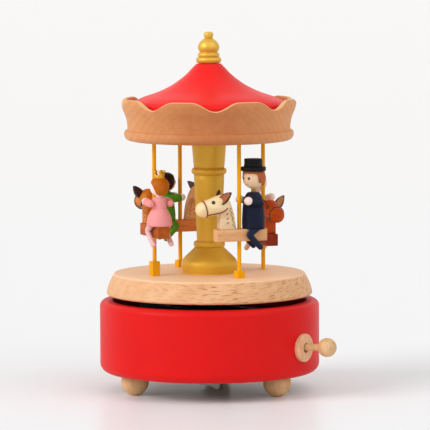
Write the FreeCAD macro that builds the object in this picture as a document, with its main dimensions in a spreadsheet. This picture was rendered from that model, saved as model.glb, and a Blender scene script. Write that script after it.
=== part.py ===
import FreeCAD, Part
import math
import os
import re
import Sketcher
from FreeCAD import Placement, Rotation, Vector

# A wooden carousel music box that stands on a table.
# Frame: millimetres, +Z up, origin on the turning axis at the level the feet stand on, -Y to the front.
# An azimuth is measured from the front (-Y) towards the right (+X), in degrees.

SIZES = {
    # fits
    "fit_gap": 0.05,
    "run_gap": 0.05,
    "slide_gap": 0.2,
    # drum
    "foot_height": 10.0,
    "drum_radius": 55.0,
    "drum_height": 36.0,
    "drum_wall": 11.0,
    "drum_top_round": 3.0,
    "drum_bottom_round": 4.5,
    "rim_width": 6.5,
    "rim_edge_round": 0.8,
    "recess_depth": 10.6,
    # bottom plate
    "plate_lip": 6.3,
    "plate_inset": 1.5,
    "plate_thickness": 3.0,
    "key_hole_radius": 4.6,
    "plate_screw_inset": 2.6,
    # feet
    "foot_ball_radius": 6.9,
    "foot_pad_radius": 1.6,
    "foot_inset": 7.7,
    "foot_azimuth": 54.6,
    "foot_peg_radius": 2.0,
    "foot_peg_length": 2.0,
    # screws
    "screw_head_radius": 2.2,
    "screw_head_height": 1.2,
    "screw_dome_radius": 0.76,
    "screw_dome_rise": 0.72,
    "screw_shank_radius": 1.0,
    "plate_screw_length": 8.0,
    "hub_screw_length": 5.5,
    "comb_screw_length": 5.0,
    # start and stop lever
    "lever_azimuth": 57.0,
    "lever_level": 25.0,
    "lever_tilt": 3.0,
    "lever_pivot_depth": 5.5,
    "lever_stem_radius": 1.7,
    "lever_reach": 19.5,
    "lever_inner_reach": 3.2,
    "lever_tail_radius": 0.6,
    "lever_tail_reach": 9.1,
    "lever_pin_radius": 0.6,
    "lever_pin_inset": 0.1,
    "lever_bush_radius": 4.0,
    "lever_bush_bore": 2.5,
    "lever_bush_inset": 0.6,
    "knob_radius": 4.7,
    "knob_hole_depth": 4.4,
    "escutcheon_radius": 7.0,
    "escutcheon_thickness": 2.5,
    "escutcheon_seat": 0.6,
    "escutcheon_hole_radius": 2.5,
    "escutcheon_edge_round": 0.7,
    # cam plate and cam track
    "cam_plate_thickness": 2.5,
    "bearing_boss_radius": 6.0,
    "track_half_width": 4.0,
    "cam_lift": 3.6,
    "cam_clearance": 0.3,
    # platform
    "platform_gap": 2.7,
    "platform_height": 10.8,
    "platform_radius": 51.6,
    "platform_top_radius": 48.2,
    "platform_bulge": 0.45,
    "platform_bottom_round": 1.2,
    "platform_top_round": 1.0,
    "platform_web": 5.3,
    "platform_hub_radius": 12.0,
    "platform_rim_width": 7.6,
    # drive
    "shaft_radius": 2.0,
    "shaft_seat": 4.8,
    "hub_radius": 9.4,
    "hub_flange": 1.4,
    "hub_collar_radius": 4.6,
    "hub_collar_height": 1.2,
    "hub_screw_circle": 6.9,
    "hub_screw_count": 3,
    # column
    "tenon_radius": 4.0,
    "tenon_length": 4.2,
    "column_height": 66.3,
    "column_foot_radius": 13.4,
    "column_bulge_share": 0.94,
    "column_bulge_radius": 14.2,
    "column_bulge_height": 4.2,
    "column_cone_height": 12.9,
    "column_cone_radius": 7.5,
    "column_ring_radius": 7.9,
    "column_ring_height": 3.2,
    "column_waist_radius": 6.2,
    "column_neck_radius": 7.7,
    "column_neck_height": 49.4,
    "column_collar_radius": 9.0,
    "column_collar_height": 3.2,
    "column_head_radius": 8.8,
    # canopy
    "canopy_floor": 5.2,
    "canopy_bottom_radius": 38.4,
    "canopy_bead_radius": 42.6,
    "canopy_bead_level": 3.7,
    "canopy_bead_height": 5.3,
    "canopy_neck_radius": 41.25,
    "canopy_neck_level": 7.4,
    "canopy_flare_radius": 44.3,
    "canopy_flare_level": 18.6,
    "canopy_height": 21.4,
    "canopy_lip_share": 0.86,
    "canopy_wall": 3.4,
    "flare_share": 0.36,
    "roof_seat_level": 14.7,
    "roof_seat_width": 3.4,
    "lobe_count": 8,
    "dip_depth": 5.0,
    "dip_half_width": 8.4,
    "dip_shoulder": 3.2,
    # roof
    "roof_radius": 38.4,
    "roof_rim_height": 3.4,
    "roof_shoulder_share": 0.66,
    "roof_edge_share": 0.18,
    "roof_edge_rise": 0.62,
    "roof_rim_round": 2.4,
    "roof_bend_radius": 26.0,
    "roof_bend_level": 10.2,
    "roof_height": 24.2,
    "roof_top_radius": 6.3,
    "roof_sag_radius": 13.6,
    "roof_sag_level": 16.6,
    "roof_crown_level": 8.5,
    # finial
    "peg_radius": 2.0,
    "peg_length": 6.0,
    "finial_ring_share": 0.9,
    "finial_ring_radius": 6.3,
    "finial_ring_height": 3.2,
    "finial_bead_radius": 5.45,
    "finial_bead_height": 1.9,
    "finial_groove_radius": 4.6,
    "finial_ball_radius": 5.35,
    "finial_ball_level": 8.3,
    "finial_ball_top": 12.2,
    "finial_neck_radius": 1.7,
    "finial_button_radius": 2.3,
    "finial_button_round": 0.5,
    "finial_groove_height": 0.5,
    "finial_height": 15.4,
    # musical movement
    "bedplate_thickness": 2.0,
    "bedplate_half_width": 9.75,
    "bedplate_tail": 2.0,
    "movement_clearance": 1.0,
    "movement_screw_inset": 2.5,
    "end_shake": 0.3,
    "barrel_clearance": 0.9,
    "barrel_radius": 13.0,
    "barrel_height": 6.6,
    "barrel_wall": 1.0,
    "barrel_lid": 1.5,
    "spring_thickness": 0.35,
    "spring_turns": 6,
    "arbor_radius": 2.0,
    "arbor_hub_radius": 3.4,
    "ratchet_radius": 5.5,
    "ratchet_thickness": 0.6,
    "pressure_angle": 20.0,
    "dedendum": 1.25,
    "tooth_share": 0.42,
    "worm_tooth_share": 0.36,
    "crown_teeth": 36,
    "crown_module": 0.6,
    "crown_face": 2.4,
    "pinion_teeth": 12,
    "cylinder_radius": 5.5,
    "lug_share": 2.5,
    "cylinder_arbor_radius": 1.2,
    "pin_radius": 0.3,
    "pin_height": 0.5,
    "lug_thickness": 1.4,
    "lug_gap": 0.6,
    "lug_half_width": 4.0,
    "wheel_teeth": 30,
    "train_module": 0.4,
    "train_face": 1.2,
    "train_angle": 52.0,
    "governor_pinion_teeth": 10,
    "worm_wheel_teeth": 16,
    "worm_module": 0.5,
    "worm_pitch_radius": 1.7,
    "worm_turns": 3,
    "governor_arbor_radius": 0.8,
    "fan_radius": 3.9,
    "fan_disc_thickness": 0.6,
    "fan_blade_thickness": 0.5,
    "fan_blade_height": 4.8,
    "fan_brake_gap": 0.25,
    "frame_arm_share": 1.1,
    "frame_block_share": 1.5,
    "frame_thickness": 1.4,
    "comb_teeth": 18,
    "comb_thickness": 0.9,
    "comb_tooth_length": 7.4,
    "comb_depth": 14.4,
    "comb_slot": 0.3,
    "comb_clearance": 0.3,
    "comb_screw_inset": 3.0,
    # winding key
    "key_clearance": 1.5,
    "key_span": 28.0,
    "key_height": 7.6,
    "key_thickness": 1.8,
    "key_waist": 2.6,
    "key_sleeve_radius": 3.0,
    "key_sleeve_height": 5.0,
    "key_sleeve_sink": 1.5,
    "key_socket_floor": 0.4,
    "key_waist_share": 0.64,
    "key_azimuth": 25.0,
    # poles and benches
    "pole_circle_radius": 31.0,
    "pole_azimuth": 28.6,
    "pole_radius": 1.0,
    "pole_length": 72.6,
    "block_side": 4.0,
    "block_length": 13.2,
    "block_rise": 3.5,
    "bench_length": 26.0,
    "bench_width": 6.2,
    "bench_height": 6.0,
    "bench_round": 0.5,
    "bench_shift": 0.6,
    "unit_turn": 8.0,
    "left_bench_rise": 15.4,
    "front_bench_rise": 17.85,
    "right_bench_rise": 15.9,
    "rear_bench_rise": 17.6,
    # horses
    "neck_start": 2.6,
    "neck_length": 7.7,
    "neck_width": 5.4,
    "neck_top_start": 6.0,
    "neck_throat_height": 6.0,
    "neck_crest_height": 14.8,
    "muzzle_radius": 3.9,
    "muzzle_forward": 19.0,
    "muzzle_height": 10.2,
    "face_share": 0.4,
    "poll_share": 0.78,
    "poll_reach": 0.64,
    "face_radius": 4.45,
    "cheek_radius": 4.7,
    "cheek_distance": 9.6,
    "head_length": 14.0,
    "head_slope": 13.5,
    "ear_length": 6.6,
    "ear_radius": 1.9,
    "ear_thickness": 1.4,
    "ear_lean": 50.5,
    "ear_splay": -51.0,
    "ear_spread": 3.0,
    "ear_forward": 10.7,
    "ear_rise": 14.1,
    "neck_bulge": 0.6,
    # riders
    "seat_back": 7.5,
    "gentleman_head_radius": 5.1,
    "rider_head_radius": 4.7,
    "hair_thickness": 0.45,
    "hair_lean": 40.0,
    "hair_line": 0.8,
    "neck_radius": 1.8,
    "coat_hem_radius": 5.6,
    "coat_chest_radius": 4.4,
    "coat_height": 18.0,
    "dress_hem_radius": 6.3,
    "dress_waist_radius": 3.45,
    "dress_waist_height": 8.8,
    "dress_chest_radius": 3.5,
    "dress_height": 13.9,
    "gown_hem_radius": 6.3,
    "gown_waist_radius": 3.6,
    "gown_waist_height": 10.8,
    "gown_chest_radius": 3.7,
    "gown_height": 18.0,
    "suit_hem_radius": 4.7,
    "suit_chest_radius": 3.5,
    "suit_height": 13.9,
    "collar_height": 0.9,
    "collar_radius": 2.4,
    "coat_neck_height": 1.2,
    "dress_neck_height": 0.1,
    "gown_neck_height": 1.2,
    "suit_neck_height": 0.1,
    "clothes_fullness": 0.82,
    "arm_radius": 1.7,
    "arm_reach": 6.9,
    "arm_rise": 1.0,
    "shoulder_back": 1.9,
    "coat_arm_level": 12.5,
    "dress_arm_level": 11.2,
    "gown_arm_level": 16.2,
    "suit_arm_level": 11.2,
    "arm_offset": 1.3,
    "arm_spread": 0.4,
    "shoulder_swell": 0.76,
    "shoulder_slope": 0.3,
    "shoulder_drop": 2.4,
    "hand_radius": 2.1,
    "leg_radius": 1.6,
    "leg_gap": 0.05,
    "knee_forward": 4.0,
    "knee_drop": 2.6,
    "foot_back": 2.3,
    "foot_drop": 9.4,
    "hat_brim_radius": 6.3,
    "hat_brim_thickness": 1.7,
    "hat_crown_radius": 4.5,
    "hat_crown_height": 4.2,
    "hat_level": 3.9,
    "crown_radius": 2.6,
    "crown_foot_radius": 2.1,
    "crown_height": 4.7,
    "crown_wall": 0.6,
    "crown_notch": 1.1,
    "crown_points": 5,
    "crown_level": 4.0,
}

doc = FreeCAD.newDocument("carousel_music_box")
sheet = doc.addObject("Spreadsheet::Sheet", "sizes")
for row, (alias, number) in enumerate(SIZES.items(), start=1):
    sheet.set(f"A{row}", alias)
    sheet.set(f"B{row}", str(number))
    sheet.setAlias(f"B{row}", alias)
doc.recompute()

nodes = []


def value(text):
    return float(sheet.evalExpression(text))


def bound(text):
    return re.sub(r"[a-z][a-z0-9_]*", lambda m: "sizes." + m[0] if m[0] in SIZES else m[0], text)


def add(*texts):
    return " + ".join(f"({text})" for text in texts)


def less(first, *texts):
    return " - ".join(f"({text})" for text in (first,) + texts)


# Levels and radii that several pieces share, each as a formula of the sizes

drum_top = add("foot_height", "drum_height")
ledge = less(drum_top, "recess_depth")
bore = less("drum_radius", "drum_wall")
rebate = less("drum_radius", "plate_lip")
opening = less("drum_radius", "rim_width")
plate_bottom = add("foot_height", "plate_inset")
plate_top = add(plate_bottom, "plate_thickness")
bed_top = add(plate_top, "bedplate_thickness")
barrel_bottom = add(bed_top, "barrel_clearance")
barrel_top = add(barrel_bottom, "barrel_height")
cylinder_level = add(barrel_top, "dedendum * crown_module", "crown_module * pinion_teeth / 2")
cam_plate_top = add(ledge, "cam_plate_thickness")
platform_bottom = add(drum_top, "platform_gap")
platform_top = add(platform_bottom, "platform_height")
hub_bottom = less(platform_bottom, "hub_flange", "hub_collar_height")
canopy_bottom = add(platform_top, "column_height")
canopy_top = add(canopy_bottom, "canopy_height")
roof_seat = add(canopy_bottom, "roof_seat_level")
roof_top = add(roof_seat, "roof_height")
middle_block_top = add(platform_top, "block_rise")
lowest_foot = less(middle_block_top, "cam_lift", "block_length")
stem_bore = "shaft_radius + fit_gap"

slant = math.sqrt(0.5)


def direction(azimuth):
    angle = math.radians(azimuth)
    return Vector(math.sin(angle), -math.cos(angle), 0)


def spot(azimuth, radius, level):
    return direction(azimuth) * radius + Vector(0, 0, level)


def spread(azimuth, count):
    return [azimuth + 360 * index / count for index in range(count)]


def turned_to(azimuth):
    return Rotation(Vector(0, 0, 1), azimuth - 90)


def along(axis):
    return Rotation(Vector(0, 0, 1), axis)


def node(piece, label):
    piece.Label = label
    nodes.append((label, piece))
    return piece


# Sketches: an outline is a closed list of corners, each an (across, up) pair of formulas.
# A corner with two more formulas is reached by an arc through that point, otherwise by a line.


def pin(sketch, geometry, position, across, up):
    for kind, text, axis in (("DistanceX", across, -2), ("DistanceY", up, -1)):
        if text == "0":
            sketch.addConstraint(Sketcher.Constraint("PointOnObject", geometry, position, axis))
            continue
        index = sketch.addConstraint(Sketcher.Constraint(kind, -1, 1, geometry, position, value(text)))
        sketch.setExpression(f"Constraints[{index}]", bound(text))


def outline(body, name, role, corners):
    sketch = body.newObject("Sketcher::SketchObject", name)
    sketch.AttachmentSupport = [(origin_feature(body, role), "")]
    sketch.MapMode = "FlatFace"
    points = [Vector(value(corner[0]), value(corner[1]), 0) for corner in corners]
    edges = []
    for index, corner in enumerate(corners):
        start = points[index - 1]
        end = points[index]
        if len(corner) == 4:
            via = Vector(value(corner[2]), value(corner[3]), 0)
            edge = sketch.addGeometry(Part.Arc(start, via, end))
        else:
            edge = sketch.addGeometry(Part.LineSegment(start, end))
        first, second = (sketch.getPoint(edge, position).distanceToPoint(start) for position in (1, 2))
        edges.append((edge, 1, 2) if first < second else (edge, 2, 1))
    for index, corner in enumerate(corners):
        edge, _, end = edges[index]
        following, begin, _ = edges[(index + 1) % len(edges)]
        sketch.addConstraint(Sketcher.Constraint("Coincident", edge, end, following, begin))
        pin(sketch, edge, end, corner[0], corner[1])
        if len(corner) == 4:
            point = sketch.addGeometry(Part.Point(Vector(value(corner[2]), value(corner[3]), 0)), True)
            sketch.addConstraint(Sketcher.Constraint("PointOnObject", point, 1, edge))
            pin(sketch, point, 1, corner[2], corner[3])
    return sketch


def origin_feature(body, role):
    return next(feature for feature in body.Origin.OriginFeatures if feature.Role == role)


def new_body(name, placement=None):
    body = doc.addObject("PartDesign::Body", name)
    if placement:
        body.Placement = placement
    return body


def repeated(body, name, feature, count):
    # the feature again and again round the body's Z axis
    pattern = body.newObject("PartDesign::PolarPattern", name)
    pattern.Originals = [feature]
    pattern.Axis = (origin_feature(body, "Z_Axis"), [""])
    pattern.Angle = 360
    pattern.setExpression("Occurrences", bound(count))
    body.Tip = pattern


def pocket(body, name, sketch, depth):
    hollow = body.newObject("PartDesign::Pocket", name)
    hollow.Profile = sketch
    hollow.Reversed = True
    hollow.setExpression("Length", bound(depth))
    return hollow


def raise_sketch(sketch, level):
    sketch.AttachmentOffset.Base = Vector(0, 0, value(level))
    sketch.setExpression(".AttachmentOffset.Base.z", bound(level))


def turned(name, corners, placement=None):
    body = new_body(name, placement)
    sketch = outline(body, name + "_profile", "XZ_Plane", corners)
    turn = body.newObject("PartDesign::Revolution", name + "_turn")
    turn.Profile = sketch
    turn.ReferenceAxis = (sketch, ["V_Axis"])
    turn.Angle = 360
    return body


def padded(name, role, corners, thickness, placement=None):
    body = new_body(name, placement)
    sketch = outline(body, name + "_profile", role, corners)
    pad = body.newObject("PartDesign::Pad", name + "_pad")
    pad.Profile = sketch
    pad.SideType = "Symmetric"
    pad.setExpression("Length", bound(thickness))
    return body


def rectangle(left, right, bottom, top):
    return [(left, bottom), (right, bottom), (right, top), (left, top)]


def rod(name, radius, length, base, axis=Vector(0, 0, 1)):
    cylinder = doc.addObject("Part::Cylinder", name)
    cylinder.setExpression("Radius", bound(radius))
    cylinder.setExpression("Height", bound(length))
    cylinder.Placement = Placement(base, along(axis))
    return cylinder


def block(name, low, high):
    box = doc.addObject("Part::Box", name)
    for side, small, large in zip(("Length", "Width", "Height"), low, high):
        box.setExpression(side, bound(less(large, small)))
    box.Placement.Base = Vector(*[value(text) for text in low])
    return box


def group(name, pieces):
    if len(pieces) == 1:
        return pieces[0]
    compound = doc.addObject("Part::Compound", name)
    compound.Links = pieces
    return compound


def fused(name, pieces):
    fuse = doc.addObject("Part::MultiFuse", name)
    fuse.Shapes = pieces
    return fuse


def cut(name, base, tools):
    result = doc.addObject("Part::Cut", name)
    result.Base = base
    result.Tool = group(name + "_tools", tools)
    return result


def made(name, shape, placement=None):
    feature = doc.addObject("Part::Feature", name)
    feature.Shape = shape
    if placement:
        feature.Placement = placement
    return feature


def pilot(name, depth, base):
    return rod(name, "screw_shank_radius + fit_gap", depth, base)


def screws(label, spots, axis, length):
    # the seat of each head is at its spot, and the shank points along the axis
    profile = [
        ("0", "0 - screw_head_height"),
        ("screw_head_radius", "0", "screw_head_radius * screw_dome_radius",
         "0 - screw_head_height * screw_dome_rise"),
        ("screw_shank_radius", "0"),
        ("screw_shank_radius", length),
        ("0", length),
    ]
    pieces = [
        turned(f"{label}_{index}", profile, Placement(base, along(axis)))
        for index, base in enumerate(spots)
    ]
    return node(group(label, pieces), label)


def round_corner(across, up, size, sides):
    # the point halfway along the arc that rounds a convex corner
    side, rise = sides
    lean = 1 - slant
    return f"({across}) - ({side}) * ({size}) * {lean}", f"({up}) - ({rise}) * ({size}) * {lean}"


# Drum, bottom plate and feet

up = Vector(0, 0, 1)
lever_azimuth = value("lever_azimuth")
lever_out = direction(lever_azimuth)
lever_level = value("lever_level")
lever_root = Vector(0, 0, lever_level)
foot_names = ("right_ball_foot", "rear_ball_foot", "left_ball_foot")
foot_azimuths = spread(value("foot_azimuth"), len(foot_names))
foot_circle = value(less(rebate, "foot_inset"))
plate_screw_azimuths = [azimuth + 180 / len(foot_names) for azimuth in foot_azimuths]
plate_screw_circle = value(less(rebate, "plate_screw_inset"))
plate_screw_spots = [spot(a, plate_screw_circle, value(plate_bottom)) for a in plate_screw_azimuths]


def base_drum():
    shell = turned("drum_shell", [
        (rebate, "foot_height"),
        (less("drum_radius", "drum_bottom_round"), "foot_height"),
        ("drum_radius", add("foot_height", "drum_bottom_round"))
        + round_corner("drum_radius", "foot_height", "drum_bottom_round", (1, -1)),
        ("drum_radius", less(drum_top, "drum_top_round")),
        (less("drum_radius", "drum_top_round"), drum_top)
        + round_corner("drum_radius", drum_top, "drum_top_round", (1, 1)),
        (add(opening, "rim_edge_round"), drum_top),
        (opening, less(drum_top, "rim_edge_round"))
        + round_corner(opening, drum_top, "rim_edge_round", (-1, 1)),
        (opening, ledge),
        (bore, ledge),
        (bore, plate_top),
        (rebate, plate_top),
    ])
    seat = value(less("drum_radius", "escutcheon_seat"))
    holes = [
        rod("drum_lever_hole", "lever_bush_radius + fit_gap", "drum_radius", lever_root, lever_out),
        rod("drum_lever_flat", "escutcheon_radius + fit_gap", "drum_wall", lever_root + lever_out * seat,
            lever_out),
    ]
    for index, base in enumerate(plate_screw_spots):
        holes.append(pilot(f"drum_pilot_{index}", "plate_screw_length + fit_gap", base))
    node(cut("base_drum", shell, [fused("drum_lever_tools", holes[:2])] + holes[2:]), "base_drum")


def bottom_plate():
    disc = turned("plate_disc", [
        ("key_hole_radius", plate_bottom),
        (less(rebate, "fit_gap"), plate_bottom),
        (less(rebate, "fit_gap"), plate_top),
        ("key_hole_radius", plate_top),
    ])
    below = value(plate_bottom)
    holes = []
    for index, azimuth in enumerate(foot_azimuths):
        base = spot(azimuth, foot_circle, below)
        depth = "foot_peg_length + fit_gap"
        holes.append(rod(f"plate_peg_hole_{index}", "foot_peg_radius + fit_gap", depth, base))
    for index, base in enumerate(plate_screw_spots + movement_screw_spots):
        holes.append(pilot(f"plate_screw_hole_{index}", "plate_thickness", base))
    node(cut("bottom_plate", disc, holes), "bottom_plate")


def ball_feet():
    centre = "sqrt(foot_ball_radius ^ 2 - foot_pad_radius ^ 2)"
    top_radius = f"sqrt(foot_ball_radius ^ 2 - ({plate_bottom} - {centre}) ^ 2)"
    profile = [
        ("0", "0"),
        ("foot_pad_radius", "0"),
        (top_radius, plate_bottom, "foot_ball_radius", centre),
        ("foot_peg_radius", plate_bottom),
        ("foot_peg_radius", add(plate_bottom, "foot_peg_length")),
        ("0", add(plate_bottom, "foot_peg_length")),
    ]
    for name, azimuth in zip(foot_names, foot_azimuths):
        place = Placement(spot(azimuth, foot_circle, 0), Rotation())
        node(turned(name, profile, place), name)


# Start and stop lever: a stem on a cross pin inside a bush in the drum's wall


def stop_lever():
    pivot = lever_root + lever_out * value(less("drum_radius", "lever_pivot_depth"))
    across = up.cross(lever_out)
    tilted = Rotation(across, -value("lever_tilt")).multVec(lever_out)
    level_frame = Placement(lever_root, along(lever_out))
    lever_frame = Placement(pivot, along(tilted))
    seat = less("drum_radius", "escutcheon_seat")
    front = add(seat, "escutcheon_thickness")
    disc = turned("lever_escutcheon", [
        ("escutcheon_hole_radius", seat),
        ("escutcheon_radius", seat),
        ("escutcheon_radius", less(front, "escutcheon_edge_round")),
        (less("escutcheon_radius", "escutcheon_edge_round"), front)
        + round_corner("escutcheon_radius", front, "escutcheon_edge_round", (1, 1)),
        ("escutcheon_hole_radius", front),
    ], level_frame)
    node(disc, "lever_escutcheon")

    bush_end = less(seat, "fit_gap")
    bush_start = add(bore, "lever_bush_inset")
    wall = rectangle("lever_bush_bore", "lever_bush_radius", bush_start, bush_end)
    tube = turned("lever_bush_tube", wall, level_frame)
    reach = value("lever_bush_radius")
    pin_hole = "lever_pin_radius + fit_gap"
    hole = rod("lever_bush_hole", pin_hole, "2 * lever_bush_radius", pivot - across * reach, across)
    node(cut("lever_bush", tube, [hole]), "lever_bush")
    short = value("lever_bush_radius - lever_pin_inset")
    pin_length = "2 * (lever_bush_radius - lever_pin_inset)"
    node(rod("lever_pin", "lever_pin_radius", pin_length, pivot - across * short, across), "lever_pin")

    outer_end = less("lever_reach", "knob_radius", "0 - knob_hole_depth + fit_gap")
    stem = turned("lever_stem_turning", [
        ("0", "0 - lever_tail_reach"),
        ("lever_tail_radius", "0 - lever_tail_reach"),
        ("lever_tail_radius", "0 - lever_inner_reach"),
        ("lever_stem_radius", "0 - lever_inner_reach"),
        ("lever_stem_radius", outer_end),
        ("0", outer_end),
    ], lever_frame)
    eye_radius = "lever_pin_radius + run_gap"
    eye = rod("lever_eye", eye_radius, "2 * lever_bush_radius", pivot - across * reach, across)
    node(cut("lever_stem", stem, [eye]), "lever_stem")

    hole_radius = "(lever_stem_radius + fit_gap)"
    mouth = f"lever_reach - sqrt(knob_radius ^ 2 - {hole_radius} ^ 2)"
    hole_end = less("lever_reach", "knob_radius", "0 - knob_hole_depth")
    ball = turned("lever_knob", [
        ("0", hole_end),
        (hole_radius, hole_end),
        (hole_radius, mouth),
        ("0", add("lever_reach", "knob_radius"), "knob_radius", "lever_reach"),
    ], lever_frame)
    node(ball, "lever_knob")


# Cam plate with the shaft's bearing, and the tilted track that lifts the poles


def cam():
    plate = turned("cam_plate", [
        ("shaft_radius + run_gap", ledge),
        (less(opening, "fit_gap"), ledge),
        (less(opening, "fit_gap"), cam_plate_top),
        ("bearing_boss_radius", cam_plate_top),
        ("bearing_boss_radius", less(hub_bottom, "cam_clearance")),
        ("shaft_radius + run_gap", less(hub_bottom, "cam_clearance")),
    ])
    node(plate, "cam_plate")
    inner = "pole_circle_radius - track_half_width"
    outer = "pole_circle_radius + track_half_width"
    tube = turned("cam_track_ring", rectangle(inner, outer, cam_plate_top, drum_top))
    half = "block_side / 2"
    corner = f"sqrt((pole_circle_radius + {half}) ^ 2 + ({half}) ^ 2) / pole_circle_radius"
    middle = value(less(lowest_foot, "cam_clearance", f"cam_lift * {corner}"))
    tilt = math.degrees(math.atan(value("cam_lift / pole_circle_radius")))
    high = direction(value("pole_azimuth") - 90)
    over = doc.addObject("Part::Box", "cam_track_slope")
    for side in ("Length", "Width", "Height"):
        over.setExpression(side, bound("4 * pole_circle_radius"))
    size = value("4 * pole_circle_radius")
    turn = Rotation(high.cross(up), tilt)
    over.Placement = Placement(Vector(0, 0, middle) - turn.multVec(Vector(size / 2, size / 2, 0)), turn)
    node(cut("cam_track", tube, [over]), "cam_track")


# Turntable: platform, column, canopy, roof and finial

pole_azimuths = {
    "front": value("pole_azimuth"),
    "right": value("pole_azimuth + 90"),
    "rear": value("pole_azimuth + 180"),
    "left": value("pole_azimuth - 90"),
}
hub_screw_spots = [
    spot(azimuth, value("hub_screw_circle"), value(less(platform_bottom, "hub_flange")))
    for azimuth in spread(0, int(value("hub_screw_count")))
]


def platform():
    low_corner = add(platform_bottom, "platform_bottom_round")
    high_corner = less(platform_top, "platform_top_round")
    side_middle = add("(platform_radius + platform_top_radius) / 2", "platform_bulge")
    web_level = less(platform_top, "platform_web")
    groove = less("platform_radius", "platform_rim_width")
    tenon_hole = "tenon_radius + fit_gap"
    tenon_floor = less(platform_top, "tenon_length", "fit_gap")
    disc = turned("platform_disc", [
        ("0", add(platform_bottom, "shaft_seat")),
        (stem_bore, add(platform_bottom, "shaft_seat")),
        (stem_bore, platform_bottom),
        ("platform_hub_radius", platform_bottom),
        ("platform_hub_radius", web_level),
        (groove, web_level),
        (groove, platform_bottom),
        (less("platform_radius", "platform_bottom_round"), platform_bottom),
        ("platform_radius", low_corner)
        + round_corner("platform_radius", platform_bottom, "platform_bottom_round", (1, -1)),
        ("platform_top_radius", high_corner, side_middle, f"(({low_corner}) + ({high_corner})) / 2"),
        (less("platform_top_radius", "platform_top_round"), platform_top)
        + round_corner("platform_top_radius", platform_top, "platform_top_round", (1, 1)),
        (tenon_hole, platform_top),
        (tenon_hole, tenon_floor),
        ("0", tenon_floor),
    ])
    holes = []
    half = value("block_side / 2 + slide_gap")
    for name, azimuth in pole_azimuths.items():
        hole = doc.addObject("Part::Box", f"platform_{name}_hole")
        hole.setExpression("Length", bound("block_side + 2 * slide_gap"))
        hole.setExpression("Width", bound("block_side + 2 * slide_gap"))
        hole.setExpression("Height", bound("platform_height"))
        turn = turned_to(azimuth)
        base = spot(azimuth, value("pole_circle_radius"), value(platform_bottom))
        hole.Placement = Placement(base - turn.multVec(Vector(half, half, 0)), turn)
        holes.append(hole)
    for index, base in enumerate(hub_screw_spots):
        holes.append(pilot(f"platform_pilot_{index}", "hub_screw_length + fit_gap", base))
    node(cut("platform", disc, holes), "platform")


def column():
    cone_top = add(platform_top, "column_cone_height")
    ring_top = add(cone_top, "column_ring_height")
    neck = add(platform_top, "column_neck_height")
    collar_top = add(neck, "column_collar_height")
    bulge = add(platform_top, "column_bulge_height")
    turning = turned("column", [
        ("0", less(platform_top, "tenon_length")),
        ("tenon_radius", less(platform_top, "tenon_length")),
        ("tenon_radius", platform_top),
        ("column_foot_radius", platform_top),
        ("column_bulge_radius * column_bulge_share", add(bulge, "column_bulge_height / 2"),
         "column_bulge_radius", bulge),
        ("column_cone_radius", cone_top),
        ("column_cone_radius", ring_top, "column_ring_radius", add(cone_top, "column_ring_height / 2")),
        ("column_waist_radius", add(ring_top, "column_cone_radius - column_waist_radius")),
        ("column_neck_radius", neck),
        ("column_neck_radius", collar_top, "column_collar_radius", add(neck, "column_collar_height / 2")),
        ("column_head_radius", canopy_bottom),
        ("tenon_radius", canopy_bottom),
        ("tenon_radius", add(canopy_bottom, "tenon_length")),
        ("0", add(canopy_bottom, "tenon_length")),
    ])
    node(turning, "column")


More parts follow.
